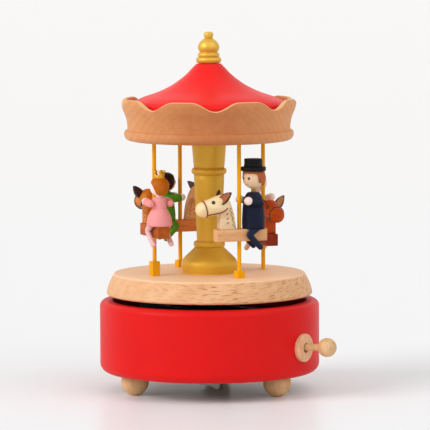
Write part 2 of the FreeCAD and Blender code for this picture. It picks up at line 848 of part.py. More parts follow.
def canopy():
    bead = add(canopy_bottom, "canopy_bead_level")
    bead_top = add(canopy_bottom, "canopy_bead_height")
    neck = add(canopy_bottom, "canopy_neck_level")
    flare = add(canopy_bottom, "canopy_flare_level")
    lip = less("canopy_flare_radius", "canopy_wall / 2")
    inner_lip = less("canopy_flare_radius", "canopy_wall")
    roof_wall = "roof_radius + fit_gap"
    cavity = less("roof_radius", "roof_seat_width")
    floor = add(canopy_bottom, "canopy_floor")
    tenon_hole = "tenon_radius + fit_gap"
    under_lip = f"({canopy_top} + {flare}) / 2"
    bead_swell = "canopy_bead_radius - canopy_bottom_radius"
    neck_step = "canopy_bead_radius - canopy_neck_radius"
    flare_swell = "canopy_flare_radius - canopy_neck_radius"
    body = turned("canopy_turning", [
        (tenon_hole, canopy_bottom),
        ("canopy_bottom_radius", canopy_bottom),
        ("canopy_bead_radius", bead, f"canopy_bottom_radius + {slant} * ({bead_swell})",
         less(bead, f"{slant} * canopy_bead_level")),
        ("canopy_neck_radius", bead_top, f"canopy_neck_radius + {slant} * ({neck_step})",
         less(bead_top, f"{1 - slant} * (canopy_bead_height - canopy_bead_level)")),
        ("canopy_neck_radius", neck),
        ("canopy_flare_radius", flare, f"canopy_neck_radius + flare_share * ({flare_swell})",
         f"({neck} + {flare}) / 2"),
        (lip, canopy_top, "canopy_flare_radius - canopy_wall / 16", under_lip),
        (inner_lip, less(canopy_top, "canopy_wall / 3"),
         "canopy_flare_radius - canopy_lip_share * canopy_wall", less(canopy_top, "canopy_wall / 10")),
        (roof_wall, add(roof_seat, "roof_rim_height")),
        (roof_wall, roof_seat),
        (cavity, roof_seat),
        (cavity, floor),
        (tenon_hole, floor),
    ])
    # one dip between two lobes, cut along +X and then repeated round the axis
    shoulder = less(canopy_top, "dip_depth / 2")
    root = less(canopy_top, "dip_depth")
    lift = add(canopy_top, "dip_depth")
    turn = "(dip_half_width + dip_shoulder) / 2 - dip_depth / 5"
    turn_level = less(canopy_top, "dip_depth / 7")
    dip = outline(body, "canopy_dip", "YZ_Plane", [
        ("0 - dip_half_width", canopy_top),
        ("0 - dip_shoulder", shoulder, less("0", turn), turn_level),
        ("dip_shoulder", shoulder, "0", root),
        ("dip_half_width", canopy_top, turn, turn_level),
        ("dip_half_width", lift),
        ("0 - dip_half_width", lift),
    ])
    notch = pocket(body, "canopy_notch", dip, "2 * canopy_flare_radius")
    repeated(body, "canopy_lobes", notch, "lobe_count")
    # a lobe stands over each pole
    half_pitch = 180 / value("lobe_count")
    body.Placement.Rotation = turned_to(value("pole_azimuth") - half_pitch)
    holes = []
    for name, azimuth in pole_azimuths.items():
        base = spot(azimuth, value("pole_circle_radius"), value(canopy_bottom))
        holes.append(rod(f"canopy_{name}_hole", "pole_radius + slide_gap", "canopy_floor", base))
    node(cut("canopy", body, holes), "canopy")


def roof():
    rim = add(roof_seat, "roof_rim_height")
    rim_top = add(rim, "roof_rim_round")
    bend = add(roof_seat, "roof_bend_level")
    peg_hole = "peg_radius + fit_gap"
    peg_floor = less(roof_top, "peg_length", "fit_gap")
    shoulder = less("roof_radius", "roof_shoulder_share * roof_rim_round")
    turning = turned("roof", [
        ("0", roof_seat),
        ("roof_radius", roof_seat),
        ("roof_radius", rim),
        (shoulder, rim_top, "roof_radius - roof_edge_share * roof_rim_round",
         add(rim, "roof_edge_rise * roof_rim_round")),
        ("roof_bend_radius", bend, f"({shoulder} + roof_bend_radius) / 2",
         add(roof_seat, "roof_crown_level")),
        ("roof_top_radius", roof_top, "roof_sag_radius", add(roof_seat, "roof_sag_level")),
        (peg_hole, roof_top),
        (peg_hole, peg_floor),
        ("0", peg_floor),
    ])
    node(turning, "roof")


def finial():
    ring_top = add(roof_top, "finial_ring_height")
    bead_top = add(ring_top, "finial_bead_height")
    ball = add(roof_top, "finial_ball_level")
    ball_top = add(roof_top, "finial_ball_top")
    tip = add(roof_top, "finial_height")
    ring_foot = "finial_ring_radius * finial_ring_share"
    button_edge = less("finial_button_radius", "finial_button_round")
    turning = turned("finial", [
        ("0", less(roof_top, "peg_length")),
        ("peg_radius", less(roof_top, "peg_length")),
        ("peg_radius", roof_top),
        (ring_foot, roof_top),
        (ring_foot, ring_top, "finial_ring_radius", add(roof_top, "finial_ring_height / 2")),
        ("finial_groove_radius", ring_top),
        ("finial_groove_radius", bead_top, "finial_bead_radius", add(ring_top, "finial_bead_height / 2")),
        ("finial_groove_radius", add(bead_top, "finial_groove_height")),
        ("finial_neck_radius", ball_top, "finial_ball_radius", ball),
        ("finial_button_radius", add(ball_top, "finial_button_round")),
        ("finial_button_radius", less(tip, "finial_button_round")),
        (button_edge, tip) + round_corner("finial_button_radius", tip, "finial_button_round", (1, 1)),
        ("0", tip),
    ])
    node(turning, "finial")


def drive():
    shaft_top = add(platform_bottom, "shaft_seat", "0 - fit_gap")
    shaft_bottom = less(barrel_top, "barrel_lid")
    flange = less(platform_bottom, "hub_flange")
    spindle = turned("drive_spindle", [
        ("0", shaft_bottom),
        ("shaft_radius", shaft_bottom),
        ("shaft_radius", hub_bottom),
        ("hub_collar_radius", hub_bottom),
        ("hub_collar_radius", flange),
        ("hub_radius", flange),
        ("hub_radius", platform_bottom),
        ("shaft_radius", platform_bottom),
        ("shaft_radius", shaft_top),
        ("0", shaft_top),
    ])
    holes = [
        pilot(f"drive_hub_hole_{index}", "hub_flange", base)
        for index, base in enumerate(hub_screw_spots)
    ]
    node(cut("drive_shaft", spindle, holes), "drive_shaft")
    screws("hub_screws", hub_screw_spots, up, "hub_screw_length")


# Musical movement: built along +X from the barrel at the axis, then turned so that its fan meets the lever

near_lug = "barrel_radius + lug_gap"
crown_start = "crown_teeth * crown_module / 2 - crown_face / 4"
cylinder_start = add(near_lug, "lug_thickness", "lug_gap")
# the train ends just inside the drum's bore, and the cylinder fills the length that is left
movement_end = f"sqrt(({bore} - movement_clearance) ^ 2 - bedplate_half_width ^ 2)"
frame_start = less(movement_end, "frame_thickness")
fan_forward = less(frame_start, "fan_radius", "lug_gap")
worm_wheel_start = less(fan_forward, "train_face / 2")
wheel_start = less(worm_wheel_start, "train_face", "lug_gap")
far_lug = less(wheel_start, "lug_thickness", "lug_gap")
cylinder_end = less(far_lug, "lug_gap")
cylinder_length = less(cylinder_end, cylinder_start)
train_distance = "(wheel_teeth + governor_pinion_teeth) * train_module / 2"
governor_side = f"{train_distance} * cos(train_angle)"
governor_level = less(cylinder_level, f"{train_distance} * sin(train_angle)")
worm_wheel_radius = "worm_wheel_teeth * worm_module / 2"
fan_side = add(governor_side, worm_wheel_radius, "worm_pitch_radius")
comb_front = "cylinder_radius + pin_height + comb_clearance"
comb_back = add(comb_front, "comb_depth")
comb_bottom = less(cylinder_level, "comb_thickness / 2")
lug_top = add(cylinder_level, "lug_share * cylinder_arbor_radius")
frame_top = less(ledge, "lug_gap")
tail_rise = "lever_tail_reach * sin(lever_tilt) + lever_tail_radius"
fan_disc_bottom = add("lever_level", tail_rise, "fan_brake_gap")

movement_azimuth = lever_azimuth - math.degrees(math.atan2(value(fan_side), value(fan_forward)))
movement_place = Placement(Vector(), turned_to(movement_azimuth))
# a gear drawn in the XY plane turns to stand across +X
across_x = Rotation(Vector(1, 1, 1), 120)


def in_movement(forward, side, level):
    return movement_place.multVec(Vector(forward, side, level))


screw_back = -value(less("barrel_radius", "movement_screw_inset"))
screw_side = value("barrel_radius / 2")
comb_middle = value(f"({cylinder_start} + {cylinder_end}) / 2")
comb_edge = -value(less(comb_back, "movement_screw_inset"))
movement_screw_spots = [
    in_movement(forward, side, value(plate_bottom))
    for forward, side in ((screw_back, -screw_side), (screw_back, screw_side), (comb_middle, comb_edge))
]


def gear_face(teeth, module, tooth_share, turn):
    # an involute gear's outline: flank points at the root, the base circle, the pitch circle and the tip
    pitch = teeth * module / 2
    base = pitch * math.cos(math.radians(value("pressure_angle")))
    root = pitch - value("dedendum") * module
    radii = sorted({root, max(base, root + module / 40), pitch, pitch + module / 2, pitch + module})

    def involute(radius):
        angle = math.acos(min(1, base / max(radius, base)))
        return math.tan(angle) - angle

    flank = [(r, tooth_share * math.pi / teeth + involute(pitch) - involute(r)) for r in radii]
    corners = []
    for tooth in range(teeth):
        centre = math.radians(turn) + 2 * math.pi * tooth / teeth
        sides = [(r, centre - half) for r, half in flank]
        sides += [(r, centre + half) for r, half in reversed(flank)]
        corners += [Vector(r * math.cos(angle), r * math.sin(angle), 0) for r, angle in sides]
    return Part.Face(Part.makePolygon(corners + corners[:1]))


def gear(teeth, module, tooth_share, turn, thickness, base):
    solid = gear_face(teeth, module, tooth_share, turn).extrude(Vector(0, 0, thickness))
    solid.Placement = Placement(base, across_x)
    return solid


def bedplate():
    side = "bedplate_half_width"
    other_side = less("0", side)
    tail = less("0", "barrel_radius", "bedplate_tail")
    lug = "lug_half_width"
    other_lug = less("0", lug)
    near_end = add(near_lug, "lug_thickness")
    far_end = add(far_lug, "lug_thickness")
    far_side = add(governor_side, "lug_half_width / 2")
    riser_front = less("0", comb_front, "comb_tooth_length", "fit_gap")
    back = less("0", comb_back)
    pieces = [
        block("bedplate_floor", (tail, other_side, plate_top), (movement_end, side, bed_top)),
        block("bedplate_wing", (cylinder_start, back, plate_top), (cylinder_end, "0", bed_top)),
        block("bedplate_riser", (cylinder_start, back, plate_top), (cylinder_end, riser_front, comb_bottom)),
        block("bedplate_near_lug", (near_lug, other_lug, plate_top), (near_end, lug, lug_top)),
        block("bedplate_far_lug", (far_lug, other_lug, plate_top), (far_end, far_side, lug_top)),
    ]
    ahead = Vector(1, 0, 0)
    axis_spot = Vector(value(near_lug), 0, value(cylinder_level))
    governor_spot = Vector(value(far_lug), value(governor_side), value(governor_level))
    cylinder_run = "cylinder_arbor_radius + run_gap"
    governor_run = "governor_arbor_radius + run_gap"
    arbor_spot = Vector(0, 0, value(plate_top))
    holes = [
        rod("bedplate_arbor_hole", "arbor_radius + run_gap", "bedplate_thickness", arbor_spot),
        rod("bedplate_cylinder_hole", cylinder_run, less(wheel_start, near_lug), axis_spot, ahead),
        rod("bedplate_governor_hole", governor_run, "lug_thickness", governor_spot, ahead),
    ]
    back_turn = movement_place.inverse()
    for index, base in enumerate(movement_screw_spots):
        seat = back_turn.multVec(base) + up * value("plate_thickness")
        holes.append(pilot(f"bedplate_screw_hole_{index}", "bedplate_thickness + fit_gap", seat))
    for index, base in enumerate(comb_screw_spots()):
        seat = base - up * value("comb_screw_length + fit_gap")
        holes.append(pilot(f"bedplate_comb_hole_{index}", "comb_screw_length + fit_gap", seat))
    plate = cut("bedplate", fused("bedplate_blank", pieces), holes)
    plate.Placement = movement_place
    node(plate, "movement_bedplate")
    screws("movement_screws", movement_screw_spots, up, "plate_thickness + bedplate_thickness")


def comb_screw_spots():
    side = -value(less(comb_back, "comb_screw_inset"))
    level = value(add(comb_bottom, "comb_thickness"))
    quarter = value(f"({cylinder_length}) / 4")
    return [Vector(comb_middle + sign * quarter, side, level) for sign in (-1, 1)]


def comb():
    body = new_body("comb_steel", movement_place)
    front = less("0", comb_front)
    back = less("0", comb_back)
    blank = outline(body, "comb_outline", "XY_Plane", rectangle(cylinder_start, cylinder_end, back, front))
    raise_sketch(blank, comb_bottom)
    pad = body.newObject("PartDesign::Pad", "comb_pad")
    pad.Profile = blank
    pad.setExpression("Length", bound("comb_thickness"))
    pitch = f"({cylinder_length}) / comb_teeth"
    gap = add(cylinder_start, pitch)
    ahead = add(front, "comb_slot")
    slot = outline(body, "comb_gap", "XY_Plane", rectangle(
        less(gap, "comb_slot / 2"), add(gap, "comb_slot / 2"), less(front, "comb_tooth_length"), ahead))
    raise_sketch(slot, comb_bottom)
    sawn = pocket(body, "comb_sawn", slot, "2 * comb_thickness")
    teeth = body.newObject("PartDesign::LinearPattern", "comb_tines")
    teeth.Originals = [sawn]
    teeth.Direction = (origin_feature(body, "X_Axis"), [""])
    teeth.setExpression("Length", bound(f"{pitch} * (comb_teeth - 2)"))
    teeth.setExpression("Occurrences", bound("comb_teeth - 1"))
    body.Tip = teeth
    holes = []
    for index, base in enumerate(comb_screw_spots()):
        below = in_movement(*(base - up * value("comb_thickness")))
        holes.append(pilot(f"comb_hole_{index}", "comb_thickness", below))
    node(cut("comb", body, holes), "comb")
    screws("comb_screws", [in_movement(*base) for base in comb_screw_spots()], -up, "comb_screw_length")


def spring_barrel():
    inner = less("barrel_radius", "barrel_wall")
    body = turned("barrel_drum", [
        ("arbor_radius + run_gap", barrel_bottom),
        ("barrel_radius", barrel_bottom),
        ("barrel_radius", barrel_top),
        (stem_bore, barrel_top),
        (stem_bore, less(barrel_top, "barrel_lid")),
        (inner, less(barrel_top, "barrel_lid")),
        (inner, add(barrel_bottom, "barrel_wall")),
        ("arbor_radius + run_gap", add(barrel_bottom, "barrel_wall")),
    ])
    # a crown gear's tooth stands on the lid across the radius, and is repeated round the axis
    half_tooth = "worm_tooth_share * pi * crown_module / 2"
    foot = f"{half_tooth} + dedendum * crown_module * tan(pressure_angle)"
    tip = f"{half_tooth} - crown_module * tan(pressure_angle)"
    tooth_top = add(barrel_top, "(1 + dedendum) * crown_module")
    root = less(barrel_top, "barrel_lid / 2")
    profile = outline(body, "barrel_tooth", "YZ_Plane", [
        (less("0", foot), root),
        (foot, root),
        (foot, barrel_top),
        (tip, tooth_top),
        (less("0", tip), tooth_top),
        (less("0", foot), barrel_top),
    ])
    raise_sketch(profile, crown_start)
    tooth = body.newObject("PartDesign::Pad", "barrel_tooth_pad")
    tooth.Profile = profile
    tooth.setExpression("Length", bound("crown_face"))
    repeated(body, "barrel_crown", tooth, "crown_teeth")
    body.Placement.Rotation = turned_to(movement_azimuth)
    node(body, "spring_barrel")


def mainspring():
    # a flat spiral from just outside the winding arbor's hub to the barrel's wall
    gap = value("end_shake")
    start = value("arbor_hub_radius") + gap
    end = value("barrel_radius - barrel_wall - spring_thickness") - gap / 4
    turns = int(value("spring_turns"))
    low = value(add(barrel_bottom, "barrel_wall")) + gap
    height = value(less(barrel_top, "barrel_lid")) - gap - low
    spiral = doc.addObject("Part::Spiral", "mainspring_path")
    spiral.Radius = start
    spiral.Growth = (end - start) / turns
    spiral.Rotations = turns
    spiral.Placement.Base = Vector(0, 0, low)
    strip = doc.addObject("Part::Plane", "mainspring_section")
    strip.setExpression("Length", bound("spring_thickness"))
    strip.Width = height
    strip.Placement = Placement(Vector(start, 0, low), Rotation(Vector(1, 0, 0), 90))
    doc.recompute()
    wound = doc.addObject("Part::Sweep", "mainspring")
    wound.Sections = [strip]
    wound.Spine = (spiral, [f"Edge{index + 1}" for index in range(len(spiral.Shape.Edges))])
    wound.Solid = True
    wound.Frenet = True
    node(wound, "mainspring")


def cylinder():
    level = value(cylinder_level)
    start = value(cylinder_start)
    length = value(cylinder_length)
    ahead = Vector(1, 0, 0)
    radius = value("cylinder_radius")
    base = Vector(start, 0, level)
    drum = Part.makeCylinder(radius, length, base, ahead)
    drum = drum.cut(Part.makeCylinder(value("cylinder_arbor_radius + fit_gap"), length, base, ahead))
    # each track of the comb has pins at a spread of places round the cylinder, by the golden angle
    tracks = int(value("comb_teeth"))
    golden = 180 * (3 - math.sqrt(5))
    height = value("pin_height")
    pins = []
    for track in range(tracks):
        across = start + (track + 0.5) * length / tracks
        for beat in range(2):
            angle = math.radians(golden * (track + beat * tracks))
            out = Vector(0, math.cos(angle), math.sin(angle))
            root = Vector(across, 0, level) + out * (radius - height)
            pins.append(Part.makeCylinder(value("pin_radius"), 2 * height, root, out))
    node(made("pin_cylinder", drum.multiFuse(pins), movement_place), "pin_cylinder")

    arbor_radius = value("cylinder_arbor_radius")
    pinion_start = value(crown_start)
    arbor_start = pinion_start - value("lug_gap")
    arbor_end = value(add(wheel_start, "train_face"))
    half_tooth = 180 / value("pinion_teeth")
    share = value("tooth_share")
    arbor = Part.makeCylinder(arbor_radius, arbor_end - arbor_start, Vector(arbor_start, 0, level), ahead)
    pinion = gear(int(value("pinion_teeth")), value("crown_module"), share, half_tooth - 90,
                  value("crown_face"), Vector(pinion_start, 0, level))
    wheel = gear(int(value("wheel_teeth")), value("train_module"), share, -value("train_angle"),
                 value("train_face"), Vector(value(wheel_start), 0, level))
    node(made("cylinder_arbor", arbor.multiFuse([pinion, wheel]), movement_place), "cylinder_arbor")


def governor_wheel():
    side = value(governor_side)
    level = value(governor_level)
    ahead = Vector(1, 0, 0)
    start = value(far_lug)
    end = value(movement_end)
    arbor = Part.makeCylinder(value("governor_arbor_radius"), end - start, Vector(start, side, level), ahead)
    teeth = int(value("governor_pinion_teeth"))
    gap_angle = 180 - value("train_angle") + 180 / teeth
    pinion = gear(teeth, value("train_module"), value("tooth_share"), gap_angle,
                  value("train_face"), Vector(value(wheel_start), side, level))
    wheel = gear(int(value("worm_wheel_teeth")), value("worm_module"), value("worm_tooth_share"), 0,
                 value("train_face"), Vector(value(worm_wheel_start), side, level))
    node(made("governor_wheel", arbor.multiFuse([pinion, wheel]), movement_place), "governor_wheel")


def governor_fan():
    level = value(governor_level)
    forward = value(fan_forward)
    out = value(fan_side)
    pitch_radius = value("worm_pitch_radius")
    module = value("worm_module")
    pitch = math.pi * module
    depth = value("dedendum * worm_module")
    flank = math.tan(math.radians(value("pressure_angle")))
    half_tooth = value("worm_tooth_share") * pitch / 2
    root = pitch_radius - depth
    tip = pitch_radius + module
    turns = int(value("worm_turns"))
    # the thread's section starts inside the core
    inside = root - depth / 4
    foot = half_tooth + (pitch_radius - inside) * flank
    point = half_tooth - module * flank
    section = [(inside, -foot), (tip, -point), (tip, point), (inside, foot), (inside, -foot)]
    tooth = Part.makePolygon([Vector(across, 0, rise) for across, rise in section])
    thread = Part.makeHelix(pitch, turns * pitch, pitch_radius)
    ridge = Part.Wire(thread).makePipeShell([tooth], True, True)
    # the thread leaves a gap towards the wheel at the wheel's own level
    lead_in = level - (turns / 2) * pitch
    ridge.Placement = Placement(Vector(forward, out, lead_in), Rotation(up, -90 if turns % 2 else 90))
    shaft_bottom = value(bed_top) + value("end_shake")
    shaft_top = value(frame_top) - value("end_shake")
    shaft_radius = value("governor_arbor_radius")
    disc_bottom = value(fan_disc_bottom)
    disc_top = disc_bottom + value("fan_disc_thickness")
    shaft = Part.makeCylinder(shaft_radius, shaft_top - shaft_bottom, Vector(forward, out, shaft_bottom))
    core = Part.makeCylinder(root, (turns + 1) * pitch, Vector(forward, out, lead_in - pitch / 2))
    fan_radius = value("fan_radius")
    disc = Part.makeCylinder(fan_radius, disc_top - disc_bottom, Vector(forward, out, disc_bottom))
    thin = value("fan_blade_thickness")
    blade = Part.makeBox(2 * fan_radius - thin, thin, value("fan_blade_height"),
                         Vector(forward - fan_radius + thin / 2, out - thin / 2, disc_top))
    node(made("governor_fan", shaft.multiFuse([core, ridge, disc, blade]), movement_place), "governor_fan")


def governor_frame():
    thick = "frame_thickness"
    half = "frame_block_share * frame_thickness"
    arm_inner = add(governor_side, half)
    arm_outer = add(arm_inner, "frame_arm_share * frame_thickness")
    tab_end = add(fan_side, thick)
    tab_left = less(fan_forward, half)
    tab_right = add(fan_forward, half)
    foot_top = add(bed_top, thick)
    head = less(frame_top, thick)
    pieces = [
        block("governor_upright", (frame_start, less(governor_side, half), bed_top),
              (movement_end, arm_outer, frame_top)),
        block("governor_foot", (tab_left, arm_inner, bed_top), (movement_end, arm_outer, foot_top)),
        block("governor_foot_tab", (tab_left, arm_inner, bed_top), (tab_right, tab_end, foot_top)),
        block("governor_head", (tab_left, arm_inner, head), (movement_end, arm_outer, frame_top)),
        block("governor_head_tab", (tab_left, arm_inner, head), (tab_right, tab_end, frame_top)),
    ]
    bearing = "governor_arbor_radius + run_gap"
    wheel_spot = Vector(value(frame_start), value(governor_side), value(governor_level))
    fan_spot = Vector(value(fan_forward), value(fan_side), value(bed_top))
    holes = [
        rod("governor_wheel_hole", bearing, thick, wheel_spot, Vector(1, 0, 0)),
        rod("governor_fan_hole", bearing, less(frame_top, bed_top), fan_spot),
    ]
    frame = cut("governor_frame", fused("governor_blank", pieces), holes)
    frame.Placement = movement_place
    node(frame, "governor_frame")


def winding():
    half = "key_span / 2"
    bend = "key_height / 2"
    low = "key_clearance"
    middle = add(low, bend)
    high = add(low, "key_height")
    waist_low = add(low, "key_height / 8")
    waist_high = add(low, "key_waist_share * key_height")
    lobe = less(half, bend)
    reach = f"{lobe} + {bend} * {slant}"
    dip_low = f"{middle} - {bend} * {slant}"
    dip_high = f"{middle} + {bend} * {slant}"
    plane = Placement(Vector(), turned_to(value("key_azimuth")))
    wings = padded("key_wings", "XZ_Plane", [
        ("0", waist_low),
        (lobe, low),
        (half, middle, reach, dip_low),
        (lobe, high, reach, dip_high),
        ("key_waist", waist_high),
        ("0 - key_waist", waist_high),
        (less("0", lobe), high),
        (less("0", half), middle, less("0", reach), dip_high),
        (less("0", lobe), low, less("0", reach), dip_low),
    ], "key_thickness", plane)
    sleeve_root = Vector(0, 0, value(less(waist_high, "key_sleeve_sink")))
    sleeve = rod("key_sleeve", "key_sleeve_radius", "key_sleeve_height", sleeve_root)
    floor = add(waist_high, "key_socket_floor")
    socket = rod("key_socket", "arbor_radius + fit_gap", "key_sleeve_height", Vector(0, 0, value(floor)))
    node(cut("winding_key", fused("key_blank", [wings, sleeve]), [socket]), "winding_key")
    hub_low = add(barrel_bottom, "barrel_wall", "run_gap")
    hub_high = less(barrel_top, "barrel_lid", "2 * run_gap")
    ratchet_low = add(bed_top, "2 * run_gap")
    arbor_low = add(floor, "fit_gap")
    arbor = turned("winding_arbor", [
        ("0", arbor_low),
        ("arbor_radius", arbor_low),
        ("arbor_radius", ratchet_low),
        ("ratchet_radius", ratchet_low),
        ("ratchet_radius", add(ratchet_low, "ratchet_thickness")),
        ("arbor_radius", add(ratchet_low, "ratchet_thickness")),
        ("arbor_radius", hub_low),
        ("arbor_hub_radius", hub_low),
        ("arbor_hub_radius", hub_high),
        ("0", hub_high),
    ])
    node(arbor, "winding_arbor")


# Riders: each unit is built round its own pole, +X ahead, +Y outwards, level 0 at the top of the pole's block


def unit_place(azimuth, lift, turn=0):
    level = value(middle_block_top) + lift
    return Placement(spot(azimuth, value("pole_circle_radius"), level), Rotation(up, azimuth + 180 - turn))


def moved(piece, place, label):
    piece.Placement = place
    return node(piece, label)


def pole(name, place):
    half = "block_side / 2"
    low = less("0", half)
    foot = block(f"{name}_block", (low, low, "0 - block_length"), (half, half, "0"))
    root = Vector(0, 0, -value("block_length / 2"))
    stick = rod(f"{name}_stick", "pole_radius", "pole_length + block_length / 2", root)
    moved(fused(f"{name}_pole", [foot, stick]), place, f"{name}_pole")


def bench(name, place):
    half = "bench_width / 2"
    other = less("0", half)
    inner = less(half, "bench_round")
    other_inner = less("0", inner)
    low = less(f"{name}_bench_rise", "bench_height / 2")
    high = add(f"{name}_bench_rise", "bench_height / 2")
    low_side = add(low, "bench_round")
    high_side = less(high, "bench_round")
    bar = padded(f"{name}_bench_bar", "YZ_Plane", [
        (inner, low),
        (half, low_side) + round_corner(half, low, "bench_round", (1, -1)),
        (half, high_side),
        (inner, high) + round_corner(half, high, "bench_round", (1, 1)),
        (other_inner, high),
        (other, high_side) + round_corner(other, high, "bench_round", (-1, 1)),
        (other, low_side),
        (other_inner, low) + round_corner(other, low, "bench_round", (-1, -1)),
    ], "bench_length", Placement(Vector(-value("bench_shift"), 0, 0), Rotation()))
    hole = rod(f"{name}_bench_hole", "pole_radius + fit_gap", "bench_height", Vector(0, 0, value(low)))
    moved(cut(f"{name}_bench", bar, [hole]), place, f"{name}_bench")


def horse(name, place):
    seat = add(f"{name}_bench_rise", "bench_height / 2")
    chest = "neck_start + neck_length"
    cheek = "muzzle_forward - cheek_distance * cos(head_slope)"
    cheek_level = add(seat, "muzzle_height + cheek_distance * sin(head_slope)")
    mane = "(neck_start + neck_top_start) / 2 - neck_bulge"
    neck = padded(f"{name}_neck", "XZ_Plane", [
        ("neck_start", seat, mane, add(seat, "neck_crest_height / 2")),
        (chest, seat),
        (chest, add(seat, "neck_throat_height")),
        (cheek, cheek_level),
        ("neck_top_start", add(seat, "neck_crest_height")),
    ], "neck_width")
    slope = math.radians(value("head_slope"))
    back = Vector(-math.cos(slope), 0, math.sin(slope))
    muzzle = Vector(value("muzzle_forward"), 0, value(add(seat, "muzzle_height")))
    head = turned(f"{name}_horse_head", [
        ("0", "0 - muzzle_radius"),
        ("muzzle_radius", "0", f"muzzle_radius * {slant}", f"0 - muzzle_radius * {slant}"),
        ("cheek_radius", "cheek_distance", "face_radius", "face_share * cheek_distance"),
        ("0", "head_length", "poll_share * cheek_radius",
         "cheek_distance + poll_reach * (head_length - cheek_distance)"),
    ], Placement(muzzle, along(back)))
    ears = []
    for index, side in enumerate((-1, 1)):
        root = Vector(value("ear_forward"), side * value("ear_spread"), value(add(seat, "ear_rise")))
        sweep = Rotation(side * value("ear_splay"), -value("ear_lean"), 0)
        ears.append(padded(f"{name}_ear_{index}", "XZ_Plane", [
            ("0", "0", "0 - ear_radius", "ear_length / 2"),
            ("0", "ear_length", "ear_radius", "ear_length / 2"),
        ], "ear_thickness", Placement(root, sweep)))
    moved(fused(f"{name}_horse", [neck, head] + ears), place, f"{name}_horse")


def capsule(name, radius, start, end):
    length = end.distanceToPoint(start)
    return turned(name, [
        ("0", f"0 - {radius}"),
        (radius, "0", f"{radius} * {slant}", f"0 - {radius} * {slant}"),
        (radius, f"{length}"),
        ("0", f"{length} + {radius}", f"{radius} * {slant}", f"{length} + {radius} * {slant}"),
    ], Placement(start, along(end - start)))


def ball(name, radius, centre):
    sphere = doc.addObject("Part::Sphere", name)
    sphere.setExpression("Radius", bound(radius))
    sphere.Placement.Base = centre
    return sphere


gowns = ("dress", "gown")


def full(narrow, wide):
    return f"{narrow} + clothes_fullness * ({wide} - {narrow})"


def rider_side(kind):
    # the clothes from the hem up to the chest
    hem = (f"{kind}_hem_radius", "0")
    chest_level = less(f"{kind}_height", "shoulder_drop")
    chest = (f"{kind}_chest_radius", chest_level)
    if kind in gowns:
        bell = (full(f"{kind}_waist_radius", f"{kind}_hem_radius"), f"{kind}_waist_height / 2")
        return [hem, (f"{kind}_waist_radius", f"{kind}_waist_height") + bell, chest]
    swell = (full(f"{kind}_chest_radius", f"{kind}_hem_radius"), f"({chest_level}) / 2")
    return [hem, chest + swell]


def rider(name, place, kind, head_radius):
    seat = add(f"{name}_bench_rise", "bench_height / 2")
    root = Vector(-value("seat_back"), 0, value(seat))
    collar_top = f"{kind}_height + collar_height"
    neck_top = f"{collar_top} + {kind}_neck_height"
    head_level = f"{neck_top} + sqrt({head_radius} ^ 2 - neck_radius ^ 2)"
    shoulder_turn = f"collar_radius + shoulder_swell * ({kind}_chest_radius - collar_radius)"
    shoulder_level = less(f"{kind}_height", "shoulder_slope * shoulder_drop")
    clothes = turned(f"{name}_clothes", [("0", "0")] + rider_side(kind) + [
        ("collar_radius", f"{kind}_height", shoulder_turn, shoulder_level),
        ("collar_radius", collar_top),
        ("neck_radius", collar_top),
        ("neck_radius", head_level),
        ("0", head_level),
    ], Placement(root, Rotation()))
    centre = root + up * value(head_level)
    skull = ball(f"{name}_skull", head_radius, centre)
    moved(cut(f"{name}_rider_body", clothes, [skull]), place, f"{name}_rider_body")

    crown = ball(f"{name}_hair_ball", f"{head_radius} + hair_thickness", centre)
    face = doc.addObject("Part::Box", f"{name}_face_box")
    for side in ("Length", "Width", "Height"):
        face.setExpression(side, bound(f"6 * {head_radius}"))
    size = value(f"6 * {head_radius}")
    lean = Rotation(Vector(0, 1, 0), value("hair_lean"))
    corner = Vector(value("hair_line"), -size / 2, -size / 2)
    face.Placement = Placement(centre + lean.multVec(corner), lean)
    hair = cut(f"{name}_hair", cut(f"{name}_hair_shell", crown, [skull]), [face])
    moved(group(f"{name}_rider_head", [skull, hair]), place, f"{name}_rider_head")

    chest = value(f"{kind}_chest_radius")
    arm_level = value(f"{kind}_arm_level")
    leg_side = value("bench_width / 2 + leg_gap + leg_radius")
    arms = []
    legs = []
    for label, side in (("inner", -1), ("outer", 1)):
        shoulder = root + Vector(-value("shoulder_back"), side * (chest + value("arm_offset")), arm_level)
        wrist = shoulder + Vector(value("arm_reach"), side * value("arm_spread"), value("arm_rise"))
        sleeve = capsule(f"{name}_{label}_sleeve", "arm_radius", shoulder, wrist)
        hand = ball(f"{name}_{label}_hand", "hand_radius", wrist)
        arms.append(fused(f"{name}_{label}_arm", [sleeve, hand]))
        hip = root + Vector(0, side * leg_side, 0)
        knee = hip + Vector(value("knee_forward"), 0, -value("knee_drop"))
        foot = hip - Vector(value("foot_back"), 0, value("foot_drop"))
        thigh = capsule(f"{name}_{label}_thigh", "leg_radius", hip, knee)
        shin = capsule(f"{name}_{label}_shin", "leg_radius", knee, foot)
        legs.append(fused(f"{name}_{label}_leg", [thigh, shin]))
    above = block(f"{name}_above_seat", ("0 - 4 * seat_back", "0 - 2 * seat_back", seat),
                  ("seat_back", "2 * seat_back", add(seat, "2 * seat_back")))
    sleeves = cut(f"{name}_arms", group(f"{name}_arm_pair", arms), [clothes])
    trousers = cut(f"{name}_legs", group(f"{name}_leg_pair", legs), [above])
    moved(group(f"{name}_rider_limbs", [sleeves, trousers]), place, f"{name}_rider_limbs")
    return centre, crown


def top_hat(place, centre, head):
    brim_top = "hat_level + hat_brim_thickness"
    top = f"{brim_top} + hat_crown_height"
    felt = turned("front_hat_felt", [
        ("0", "hat_level"),
        ("hat_brim_radius", "hat_level"),
        ("hat_brim_radius", brim_top),
        ("hat_crown_radius", brim_top),
        ("hat_crown_radius", top),
        ("0", top),
    ], Placement(centre, Rotation()))
    moved(cut("front_rider_hat", felt, [head]), place, "front_rider_hat")


